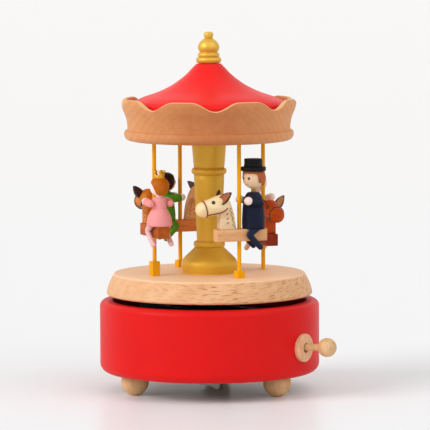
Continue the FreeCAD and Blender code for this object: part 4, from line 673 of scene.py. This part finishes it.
# the column: a turned foot, a slim shaft and two crisp beads; radius and level above the platform
columnShape = Look(
    foot=59.5, segments=96,
    line=[
        [0, 0.03], (13.2, 0.03), (13.45, 0.25), (13.85, 1.6), (14.12, 3.2), (14.18, 4.2), (14.05, 5.2),
        (13.72, 6.1), (13.1, 7), (11.9, 8.3), (10.2, 9.95), (8.5, 11.6), [7.3, 12.85], [7.12, 13.05],
        (7.62, 13.25), (7.86, 13.8), (7.88, 14.6), (7.7, 15.3), (7.2, 15.75), [6.5, 15.86], [6.22, 15.92],
        (6.24, 16.6), (6.95, 33), [7.62, 49.1], [7.42, 49.3], (8.1, 49.55), (8.62, 50.1), (8.8, 51),
        (8.62, 51.8), (8.1, 52.35), [7.42, 52.55], [7.68, 52.8], (8.15, 58.6), [8.74, 66.25], (0, 66.25),
    ],
)
creaseAngle = 40  # sharper edges stay crisp


def turned(node, shape, finish, crease=None):
    # a piece turned on the turntable's axis
    solid = lathe(smoothLine(shape.line, 4), Matrix.Translation((0, 0, shape.foot)), shape.segments)
    makePiece("turned" + node.title(), "turntable", [solid], finish, replaced=[node], crease=crease)


turned("column", columnShape, "goldPaint")
print("the column is turned")

# the canopy: a turned ring whose rim falls in eight soft dips; radius and level above its underside
canopyShape = Look(
    bottom=125.8, top=21.1, dips=8, firstDip=4.6, dipHalf=16.2, dipDepth=4.4, edge=0.45,
    foot=[
        [38.4, 0], (40.7, 0.55), (42, 1.8), (42.4, 3.2), (42.3, 4.4), (41.9, 5.1), [41.3, 5.42], (40.95, 5.46),
    ],
    flare=[
        (40.95, 5.46), (40.75, 5.75), (40.75, 7.4), (40.9, 9), (41.4, 11.5), (42.2, 13.6), (43.15, 15.9),
        (43.7, 18.2), (43.75, 19.2), (43.5, 20.1), (42.9, 20.7), (42.2, 21.1),
    ],
    inside=[(38.5, 14.7), (38.8, 15.1), (41.1, 16.9), (41.3, 21.1)],
    hollow=[(35, 14.7), (35, 5.2), (4.05, 5.2), (4.05, 0)],
    columns=240, flareRows=16, insideRows=6, poleHole=1.22, holeReach=(-1, 7), paleRim=0.3,
)


def rimLevel(shape, azimuth):
    pitch = 360 / shape.dips
    away = abs((azimuth - shape.firstDip + pitch / 2) % pitch - pitch / 2) / shape.dipHalf
    return shape.top - shape.dipDepth * (0.5 + 0.5 * cos(pi * min(away, 1.0)))


def canopySection(shape, foot, flare, rim):
    # the wall's outline for one level of the rim: up the flare, over the rim and down inside
    edge = shape.edge
    inside = shape.inside
    start = flare[0][1]
    section = list(foot)
    for row in range(1, shape.flareRows + 1):
        level = start + (rim - edge - start) * row / shape.flareRows
        section.append((readLine(flare, level), level))
    outer = section[-1][0]
    inner = readLine(inside, rim)
    section += [(outer - 0.12, rim - 0.2), (outer - edge, rim), (inner + edge, rim), (inner + 0.12, rim - 0.15)]
    for row in range(shape.insideRows + 1):
        level = rim - edge + (inside[0][1] - rim + edge) * row / shape.insideRows
        section.append((readLine(inside, level), level))
    return section + shape.hollow + [foot[0]]


def drill(piece, shapes):
    drills = addObject("drills", shapeMesh("drills", shapes, millimetres))
    modifier = piece.modifiers.new("drill", "BOOLEAN")
    modifier.object = drills
    modifier.operation = "DIFFERENCE"
    modifier.solver = "EXACT"
    keepResult(piece)
    bpy.data.meshes.remove(drills.data)


def canopy(shape):
    foot = smoothLine(shape.foot, 4)
    flare = smoothLine(shape.flare, 4)
    sections = []
    for column in range(shape.columns):
        azimuth = 360 * column / shape.columns
        section = canopySection(shape, foot, flare, rimLevel(shape, azimuth))
        sections.append([outward(azimuth) * r + Vector((0, 0, shape.bottom + z)) for r, z in section])
    rings = [list(ring) for ring in zip(*sections)]
    piece = makePiece("turnedCanopy", "turntable", [ringShape(rings, False)], "canopyBeech", replaced=["canopy"])
    low, high = shape.holeReach
    hole = [(0, low), (shape.poleHole, low), (shape.poleHole, high), (0, high)]
    holes = []
    for place in unitPlaces.values():
        spot = outward(place.azimuth) * unitFrame.poleCircle
        holes.append(lathe(hole, Matrix.Translation((spot.x, spot.y, shape.bottom)), 32))
    drill(piece, holes)
    # marks the rim's top faces, which the canopy's finish paints paler as a painted highlight
    marks = []
    for vertex in piece.data.vertices:
        azimuth = degrees(atan2(vertex.co.x, -vertex.co.y))
        level = vertex.co.z * 1000 - shape.bottom
        marks.append(1.0 if level > rimLevel(shape, azimuth) - shape.paleRim else 0.0)
    addMarks(piece.data, "rim", marks)
    piece.data.set_sharp_from_angle(angle=radians(creaseAngle))


canopy(canopyShape)

# the roof: one smooth hollow curve from its rim up to the finial; radius and level in the frame
roofShape = Look(
    foot=0, segments=120,
    line=[
        [0, 140.55], [38.35, 140.55], (38.35, 143.3), (38.05, 144.3), (37.4, 145.1), (36.4, 145.85),
        (33, 147.45), (29.6, 148.6), (26.7, 149.6), (24.2, 150.6), (22, 151.6), (18.3, 153.6), (15.2, 155.7),
        (12.5, 157.8), (10.3, 159.8), (8.4, 161.9), (6.8, 163.5), [6.3, 164.1], [2.1, 164.1], [2.1, 158.6],
        (0, 158.6),
    ],
)
# its lacquer is painted lighter than the drum's, for the light from above
turned("roof", roofShape, "roofLacquerLitCopy", creaseAngle)

# the finial: a peg, a ring, a bead, an onion and a rounded button; radius and level in the frame
finialShape = Look(
    foot=0, segments=64,
    line=[
        [0, 158.7], [2, 158.7], [2, 164.11], [3.6, 164.11], [3.6, 164.5], [5.35, 164.45], (5.95, 164.9),
        (6.25, 165.5), (6.35, 166.1), (6.2, 166.75), (5.65, 167.3), [4.95, 167.58], (5.32, 167.95),
        (5.45, 168.55), (5.37, 169.1), (5, 169.5), [4.45, 169.74], (4.52, 170.05), (4.82, 170.5), (5.15, 171.2),
        (5.36, 171.95), (5.36, 172.65), (5.13, 173.55), (4.65, 174.45), (3.94, 175.35), (2.75, 176.3),
        [1.85, 176.9], (2.1, 177.2), (2.3, 177.8), (2.34, 178.5), (2.26, 179.2), (1.95, 179.7), (1.3, 180),
        (0.6, 180.07), [0, 180.09],
    ],
)
turned("finial", finialShape, "finialGold", creaseAngle)
print("the canopy, the roof and the finial are turned")

# horses: a sawn neck board, a turned head, cupped ears, bead eyes, a fine bridle and burnt mane strokes
horseShape = Look(
    neckHalf=2.7, neckSoft=0.45, muzzle=(19.0, 0, 10.1), slope=13.5, muzzleRadius=3.9, flatten=0.95,
    neck=[
        [2.6, 0], [10.8, 0], (10.8, 6), (10.6, 9), (9.6, 13.6), (7.6, 15.2), (6.1, 14.5), (4.7, 11.2), (3.5, 7),
        (2.9, 3.2),
    ],
    face=[
        (3.9, 0), (3.98, 1.4), (4.22, 3.8), (4.6, 7), (4.75, 9.2), (4.6, 11.2), (3.6, 12.9), (1.9, 13.8),
        (0, 14),
    ],
    eyeReach=5.0, eyeTurn=36.0, eyeRadius=1.02, eyeHeight=0.45, eyeSink=0.1,
    noseband=0.7, nosebandRise=0.05, bridleRadius=0.34, reinRise=0.12,
    rein=[(0.7, -48), (3.4, -48), (5.8, -47), (8, -44), (9.6, -38), (10.6, -31), (11.2, -24)],
    earRoot=(10.9, 3.1, 13.8), earTip=(7.4, 8.55, 18.9), earWidth=2.3, earCup=0.75, earWall=1.5,
    earFace=(0.89, 0.46, 0.17), earRows=18, earColumns=13,
    maneFoot=1.5, maneStep=1.12, maneCount=12, maneInset=(1.15, 1.65), maneReach=(1.05, 0.7),
    maneWidth=0.2, maneAim=(-0.76, 0, -0.65), strokeHeight=0.12,
    tuft=[(7.3, 7.7), (7.15, 5.4), (7.0, 3.3)], tuftReach=0.8, tuftWidth=0.27, tuftAim=(-0.8, 0, 0.6),
)


# the ways back along the head and out of its forehead, and its half outline from the lips to the poll
slope = radians(horseShape.slope)
headBack = Vector((-cos(slope), 0, sin(slope)))
headOver = Vector((sin(slope), 0, cos(slope)))
lipRadius = horseShape.muzzleRadius
headLine = [(lipRadius * sin(turn) + 1e-4, -lipRadius * cos(turn)) for turn in quarter(8)]
headLine += smoothLine(horseShape.face, 6)[1:]


def onHead(shape, reach, turn, rise):
    # a point on the head's skin and the way out of it; turn 0 is the outer cheek and 90 the forehead
    angle = radians(turn)
    out = Vector((0, 1, 0)) * cos(angle) + headOver * sin(angle)
    spot = Vector(shape.muzzle) + headBack * reach + out * (readLine(headLine, reach) + rise)
    spot.y *= shape.flatten
    return spot, out


def earLeaf(shape, side):
    # a cupped leaf with a thick rim; its marks tell the rim from the hollow
    mirror = Matrix.Diagonal((1, side, 1))
    root = mirror @ Vector(shape.earRoot)
    reach = mirror @ Vector(shape.earTip) - root
    aim = reach.normalized()
    face = mirror @ Vector(shape.earFace)
    face = (face - aim * face.dot(aim)).normalized()
    wide = aim.cross(face) * shape.earWidth
    columns = shape.earColumns
    rings = []
    marks = []
    for row in range(shape.earRows + 1):
        u = row / shape.earRows
        swell = sin(pi * min(1, 0.2 + 0.8 * u) ** 0.8) ** 0.75 if u < 1 else 0.0
        wall = shape.earWall * (0.3 + 0.7 * swell)
        ring = []
        for back in (0, 1):
            for column in range(columns)[::1 - 2 * back]:
                v = 2 * column / (columns - 1) - 1
                cup = shape.earCup * (v * v - 0.2) * swell
                ring.append(root + reach * u + wide * swell * v * (1 - 0.12 * back) + face * (cup - back * wall))
                edgeMark = v ** 2.2 if v > 0 else v ** 6
                marks.append(1.0 if back else max(edgeMark, u ** 5, (1 - u) ** 7))
        rings.append(ring)
    points, faces = ringShape(rings, False)
    for start in (0, len(points) - 2 * columns):
        for near in range(start, start + columns - 1):
            far = 2 * (start + columns) - 1 - near
            faces.append((near, near + 1, far - 1, far))
    return points, faces, marks


def horse(unit, headFinish, neckFinish, bridle, mane, tuft):
    shape = horseShape
    neck = platePiece(smoothLine(shape.neck, 5, True), shape.neckHalf, shape.neckSoft)
    turn = Matrix((headOver, (0, 1, 0), headBack)).transposed().to_4x4()
    head = lathe(headLine, Matrix.Translation(shape.muzzle) @ turn, 56, shape.flatten)
    unitPiece(unit, "HorseNeck", [neck], neckFinish, "horse")
    unitPiece(unit, "HorseHead", [head], headFinish, "horse")
    leaves = [earLeaf(shape, side) for side in (-1, 1)]
    rim = [mark for leaf in leaves for mark in leaf[2]]
    unitPiece(unit, "HorseEars", [leaf[:2] for leaf in leaves], f"{unit}Ear", "horse", rim)
    eyes = []
    for eyeTurn in (shape.eyeTurn, 180 - shape.eyeTurn):
        spot, out = onHead(shape, shape.eyeReach, eyeTurn, -shape.eyeSink)
        eyes.append(domeOn(spot, out, shape.eyeRadius, shape.eyeHeight))
    unitPiece(unit, "HorseEyes", eyes, "eyeBlack")
    noseband = [onHead(shape, shape.noseband, 360 * i / 48, shape.nosebandRise)[0] for i in range(48)]
    rein = [onHead(shape, reach, angle, shape.reinRise)[0] for reach, angle in shape.rein]
    paths = [(noseband, True)]
    strokes = []
    tufts = []
    neckBack = smoothLine(shape.neck[5:] + shape.neck[:1], 8)[::-1]
    for mirror in (1, -1):
        paths.append((smoothLine([(x, y * mirror, z) for x, y, z in rein], 6), False))
        side = mirror * shape.neckHalf
        out = (0, mirror, 0)
        for index in range(shape.maneCount):
            rise = shape.maneFoot + shape.maneStep * index
            x = readLine(neckBack, rise) + shape.maneInset[index % 2]
            strokes.append(((x, side, rise), shape.maneAim, out, shape.maneReach[index % 2]))
        for x, z in shape.tuft:
            tufts.append(((x, side, z), shape.tuftAim, out, shape.tuftReach))
    linePiece(unit, "Bridle", paths, shape.bridleRadius, bridle)
    strokePiece(unit, "Mane", strokes, shape.maneWidth, shape.strokeHeight, mane)
    strokePiece(unit, "Tufts", tufts, shape.tuftWidth, shape.strokeHeight, tuft)


horse("front", "creamWood", "shadedCreamNeck", "bridleRed", "combedMane", "burntMane")
horse("left", "leftWood", "leftWood", "bridleBrown", "burntDark", "burntDark")
horse("right", "rightWood", "rightWood", "bridleBrown", "burntDark", "burntDark")
horse("rear", "rearWood", "rearWood", "bridleBrown", "combedTan", "combedTan")
print("horses are carved")

# riders: turned clothes and heads, dowel limbs with ball hands, shells of hair, beads for eyes
riderShape = Look(
    seatBack=7.5, limbSide=4.75, planed=-0.02, eyeSpread=20.5, eyeRise=2.5, eyeRadius=0.7,
    mouthDrop=-31.0, mouthHalf=6.5, mouthCurl=2.2, mouthRadius=0.13, cheekTurn=34.0, cheekDrop=-14.0,
    hairSoft=0.35, hairRows=22, hairColumns=96, fringe=1.3, locks=17, furrow=0.05, furrows=24,
    hairUnder=[(1.0, 0.62), (0.985, -0.2), (0.5, -0.25), (0.05, -0.25)],
)
# radius and level above the seat
clothesLines = Look(
    coat=[
        (5.2, 0), (5.5, 0.2), (5.6, 0.8), (5.66, 3), (5.6, 5.6), (5.5, 8), (5.32, 10.4), (5.02, 12.9),
        (4.6, 14.8), (4, 16.3), (3.4, 17.2), (2.95, 17.7), (2.5, 17.92), (1.6, 18), (0, 18),
    ],
    dress=[
        (5.9, 0), (6.2, 0.15), (6.32, 0.55), (6.28, 1.7), (6.04, 3.4), (5.6, 5), (4.9, 6.5), (4.1, 7.8),
        (3.6, 8.55), [3.45, 8.95], (3.52, 9.2), (3.52, 10.6), (3.52, 12.2), (3.4, 13.3), (2.95, 14),
        (2.3, 14.35), (1.5, 14.4), (0, 14.4),
    ],
    gown=[
        (5.9, 0), (6.2, 0.15), (6.3, 0.6), (6.26, 2), (6.04, 4.1), (5.6, 6.1), (4.95, 8), (4.2, 9.6),
        (3.75, 10.5), [3.6, 10.95], (3.68, 11.2), (3.7, 13), (3.7, 15.4), (3.55, 16.9), (3.1, 17.8),
        (2.5, 18.2), (1.6, 18.3), (0, 18.3),
    ],
    suit=[
        (4.4, 0), (4.65, 0.2), (4.75, 0.8), (4.7, 3), (4.5, 5.4), (4.2, 8), (3.9, 10.5), (3.6, 12.4),
        (3.2, 13.4), (2.7, 14), (2.4, 14.3), (2.35, 14.6), (2, 14.75), (1.4, 14.7), (0, 14.6),
    ],
)
# the level of the hair's lower edge and the angle away from the face, in degrees
hairLines = Look(
    parted=[(29, 0), (29, 50), (27, 64), (16, 71), (-8, 75), (-20, 80), (-24, 100), (-36, 140), (-40, 180)],
    bob=[(58, 0), (52, 40), (42, 69), (24, 100), (8, 120), (-12, 130), (-38, 137), (-54, 158), (-58, 180)],
    bowl=[(42, 0), (36, 32), (18, 46), (0, 54), (-22, 62), (-38, 70), (-47, 92), (-54, 130), (-57, 180)],
)


def headSpot(centre, radius, face, angle, rise):
    # a point on a head: angle away from the face, rise above its middle, in degrees
    out = outward(face + angle + 90, rise)
    return centre + out * radius, out


def hairShell(shape, centre, radius, thick, face, style):
    # from the crown down to the hair line, with a rounded edge and combed furrows
    rings = []
    spans = [(row / shape.hairRows, 1.0) for row in range(1, shape.hairRows + 1)]
    for share, out in spans + shape.hairUnder:
        ring = []
        for column in range(shape.hairColumns):
            angle = 360 * column / shape.hairColumns
            edge = readLine(hairLines[style], min(angle, 360 - angle), True)
            edge += shape.fringe * sin(radians(angle * shape.locks)) * share
            depth = thick * out
            if out == 1.0:
                depth *= 1 - shape.hairSoft * max(0.0, (share - 0.9) / 0.1) ** 2
                depth += shape.furrow * sin(radians(angle * shape.furrows)) * min(1, share * 2)
            ring.append(headSpot(centre, radius + depth, face, angle, 90 - (90 - edge) * share)[0])
        rings.append(ring)
    return ringShape(rings)


def limbs(side, look):
    # a bent leg, planed off at the seat, a sleeve and its hand
    across = side * riderShape.limbSide
    legLine = smoothLine([(x, across, z) for x, z in look.leg], 6)
    legRadii = [look.legRadius * (1.06 - 0.2 * i / (len(legLine) - 1)) for i in range(len(legLine))]
    points, faces = tubeAlong(legLine, legRadii)
    leg = [Vector((p.x, p.y, min(p.z, riderShape.planed))) for p in points], faces
    (backX, backZ), (handX, handZ) = look.arm
    across = side * look.armSide
    armLine = smoothLine([(backX, across - side * 0.3, backZ), ((backX + handX) / 2, across, (backZ + handZ) / 2),
                          (handX, across + side * 0.1, handZ)], 5)
    sleeveLine = armLine[:-2]
    sleeve = tubeAlong(sleeveLine, [look.armRadius] * len(sleeveLine))
    return leg, sleeve, ball(armLine[-1], look.handRadius)


def rider(unit, look):
    # returns the middle of the head
    shape = riderShape
    seat = Vector((-shape.seatBack, 0, 0))
    clothes = smoothLine([[0, 0]] + clothesLines[look.clothes], 4)
    unitPiece(unit, "Clothes", [lathe(clothes, Matrix.Translation(seat))], look.cloth, "rider_body")
    legs, sleeves, hands = zip(limbs(-1, look), limbs(1, look))
    unitPiece(unit, "Legs", legs, look.legCloth, "rider_limbs")
    unitPiece(unit, "Sleeves", sleeves, look.cloth, "rider_limbs")
    unitPiece(unit, "Hands", hands, "handPaint", "rider_limbs")

    centre = seat + Vector((0, 0, look.headRise))
    radius = look.headRadius
    face = look.faceTurn
    wide = look.neckRadius
    foot = -look.neckReach - 0.3
    neckLine = [(1e-4, foot), (wide, foot), (wide * 0.94, -0.3), (wide, 0.5), (1e-4, 0.5)]
    neck = lathe(neckLine, Matrix.Translation(centre - Vector((0, 0, radius))), 32)
    unitPiece(unit, "Neck", [neck], look.neckFinish, "rider_body")
    head = unitPiece(unit, "Head", [ball(centre, radius, 0.98, 64, 36)], look.skin, "rider_head")
    blush(unit, head.data, centre, face)
    hair = hairShell(shape, centre, radius, look.hairThick, face, look.hair)
    unitPiece(unit, "Hair", [hair], look.hairFinish, "rider_head")
    eyes = []
    for side in (-1, 1):
        spot, out = headSpot(centre, radius - 0.03, face, side * shape.eyeSpread, shape.eyeRise)
        eyes.append(domeOn(spot, out, shape.eyeRadius, 0.2, 16, 4))
    unitPiece(unit, "Eyes", eyes, "eyeBlack")
    smile = []
    for index in range(9):
        share = index / 4 - 1
        drop = shape.mouthDrop + shape.mouthCurl * share * share
        smile.append(headSpot(centre, radius + 0.01, face, share * shape.mouthHalf, drop)[0])
    linePiece(unit, "Mouth", [(smile, False)], shape.mouthRadius, "lipPaint")
    return centre


def blush(unit, mesh, centre, face):
    # how near each point of the face is to a cheek
    place = unitMatrix(unit)
    turn = place.to_3x3().normalized()
    middle = place @ centre
    marks = [0.0] * len(mesh.vertices)
    for side in (-1, 1):
        cheek = turn @ headSpot(middle, 1.0, face, side * riderShape.cheekTurn, riderShape.cheekDrop)[1]
        for index, vertex in enumerate(mesh.vertices):
            near = (vertex.co - middle).normalized().dot(cheek)
            marks[index] = max(marks[index], (near - 0.93) / 0.07)
    addMarks(mesh, "blush", marks)


bentLeg = [(-9.6, 1.9), (-7.0, 0.0), (-4.6, -1.75), (-3.75, -2.75), (-4.5, -3.9), (-6.6, -6.2), (-9.3, -9.0)]
trailLeg = [(-9.6, 1.9), (-7.0, 0.0), (-4.6, -1.7), (-3.8, -2.65), (-4.7, -3.8), (-7.4, -6.1), (-11.2, -8.9)]
# what most riders share, then what each has of its own
sharedLook = Look(
    leg=trailLeg, legRadius=1.5, armRadius=1.85, handRadius=1.95, headRise=19.25, headRadius=4.75,
    faceTurn=0.0, hair="bob", hairThick=0.4, hairFinish="amberHair", skin="paleSkin", neckFinish="paleSkin",
)
riderLooks = Look(
    front=Look(
        clothes="coat", cloth="navyCloth", legCloth="navyTrousers", leg=bentLeg, legRadius=1.6,
        arm=((-9.3, 12.6), (-2.6, 14.1)), armSide=5.75, armRadius=1.65, handRadius=2.18, headRise=24.75,
        headRadius=5.2, faceTurn=23.5, neckRadius=1.15, neckReach=1.6, neckFinish="shadedNeckWood", hair="parted",
        hairThick=1.05, hairFinish="chestnutHair", skin="frontSkin",
    ),
    left=Look(
        clothes="dress", cloth="pinkPaint", legCloth="stockings", neckRadius=1.8, neckReach=0.4,
        arm=((-9.0, 11.2), (-2.8, 11.9)), armSide=5.45,
    ),
    right=Look(
        clothes="gown", cloth="palePinkPaint", legCloth="paleLegs", neckRadius=1.6, neckReach=1.3,
        arm=((-9.0, 16.2), (-2.8, 17.4)), armSide=5.5, handRadius=2.0, headRise=24.45,
    ),
    rear=Look(
        clothes="suit", cloth="greenPaint", legCloth="greenPaint", leg=bentLeg, legRadius=1.6,
        arm=((-9.0, 10.9), (-1.0, 11.8)), armSide=5.2, armRadius=2.05, neckRadius=1.7, neckReach=0.3,
        neckFinish="rearSkin", hair="bowl", hairFinish="darkHair", skin="rearSkin",
    ),
)
heads = {unit: rider(unit, Look(sharedLook, **look)) for unit, look in riderLooks.items()}

# the top hat: a felt brim and crown with a fine band; radius and level above the middle of the head
hatShape = Look(
    line=[
        [0, 4.3], (5.7, 3.85), (6.1, 3.9), (6.25, 4.2), (6.28, 4.9), (6.2, 5.55), (5.9, 5.75), (5, 5.8),
        (4.62, 6), (4.5, 6.5), (4.45, 8), (4.48, 9.2), (4.4, 9.6), (4.1, 9.75), (0, 9.78),
    ],
    band=[(4.3, 6.05), (4.62, 6.15), (4.62, 6.85), (4.3, 6.95)],
)
hatAxis = Matrix.Translation(heads["front"])
unitPiece("front", "Hat", [lathe(smoothLine(hatShape.line, 4), hatAxis)], "blackFelt", "rider_hat")
unitPiece("front", "HatBand", [lathe(hatShape.band, hatAxis)], "darkPlastic", "rider_hat")

# crowns: a flared band with points, a bead on each point and a row of beads round the foot
crownShape = Look(
    foot=3.85, top=7.2, notch=5.7, footRadius=2.1, topRadius=2.35, wall=0.7, points=5, turn=24.0,
    pointColumns=12, levels=(0.0, 0.35, 0.7, 1.0), sharpness=1.3,
    beads=[(5, 24.0, 2.35, 7.528, 0.82), (15, 0.0, 2.38, 4.4, 0.32)],  # count, turn, radius, rise and size
)


def onCircle(share, turn, radius, rise):
    return outward(360 * share + turn + 90) * radius + Vector((0, 0, rise))


def crownBand(shape, centre):
    foot = shape.foot
    columns = shape.points * shape.pointColumns
    rings = []
    for out in (1, -1):
        for level in shape.levels[::out]:
            ring = []
            for column in range(columns):
                peak = abs(2 * (column % shape.pointColumns) / shape.pointColumns - 1) ** shape.sharpness
                high = shape.notch + (shape.top - shape.notch) * peak
                rise = foot + (high - foot) * level
                flare = (rise - foot) / (shape.top - foot)
                radius = shape.footRadius + (shape.topRadius - shape.footRadius) * flare * flare
                radius += out * shape.wall / 2
                ring.append(centre + onCircle(column / columns, shape.turn, radius, rise))
            rings.append(ring)
    return ringShape(rings + [rings[0]], False)


def crown(unit, shape):
    centre = heads[unit]
    unitPiece(unit, "CrownBand", [crownBand(shape, centre)], "crownGold", "rider_crown")
    spots = []
    sizes = []
    for count, turn, radius, rise, size in shape.beads:
        spots += [centre + onCircle(index / count, turn, radius, rise) for index in range(count)]
        sizes += [size * 0.001] * count
    mesh = unitMesh(unit, "CrownBeads", spots)
    addMarks(mesh, "size", sizes)
    grown(unit, crownBeads, mesh, "crownGold", [f"{unit}_rider_crown"])


crown("left", crownShape)
crown("right", crownShape)
print("riders are seated")

# a pale table top that runs out of the picture
# the near floor is tinted cool, painted to cancel the red light the drum bounces onto it
floorLook = Look(halfSize=9.0, near=(245, 246, 248), far=(248, 247, 246), start=-0.25, end=1.5)


def addFloor(look):
    half = look.halfSize
    mesh = bpy.data.meshes.new("paleTable")
    mesh.from_pydata([(-half, -half, 0), (half, -half, 0), (half, half, 0), (-half, half, 0)], [], [(0, 1, 2, 3)])
    floor = addObject("paleTable", mesh)
    tree = startFinish("paleTable", Roughness=0.3, Specular_IOR_Level=0.08)
    depth = fade(tree, objectAxes(tree)["Y"], look.start, look.end)
    colour = blend(tree, depth, tone(look.near), tone(look.far))
    tree.links.new(colour, tree.nodes["Principled BSDF"].inputs["Base Color"])
    mesh.materials.append(finishes["paleTable"])


# soft daylight all round, a broad key from the left front and a weaker fill from the right
studio = Look(
    ambient=0.60, backdrop=(248, 247, 246),
    lamps=Look(
        keyLight=Look(strength=1.6, angle=35, azimuth=-60, elevation=30),
        fillLight=Look(strength=0.65, angle=60, azimuth=50, elevation=40),
    ),
)


def addLight(look):
    world = bpy.data.worlds.new("studio")
    bpy.context.scene.world = world
    world.use_nodes = True
    tree = world.node_tree
    tree.nodes.clear()
    ray = grow(tree, "LightPath")
    seen = calculate(tree, "MAXIMUM", ray["Is Camera Ray"], ray["Is Glossy Ray"])
    seen = calculate(tree, "MAXIMUM", seen, ray["Is Transmission Ray"])
    soft = grow(tree, "Background", ((1, 1, 1, 1), look.ambient))[0]
    plain = grow(tree, "Background", (tone(look.backdrop), 1.0))[0]
    mixed = grow(tree, "MixShader", (seen, soft, plain))[0]
    grow(tree, "OutputWorld", [mixed])
    for name, lamp in look.lamps.items():
        data = bpy.data.lights.new(name, "SUN")
        data.energy = lamp.strength
        data.angle = radians(lamp.angle)
        source = addObject(name, data)
        source.rotation_mode = "QUATERNION"
        source.rotation_quaternion = (-outward(lamp.azimuth, lamp.elevation)).to_track_quat("-Z", "Y")


addCamera(cameraView)
addFloor(floorLook)
addLight(studio)
bpy.context.scene.view_settings.view_transform = "Standard"
print("camera, floor and light are set")
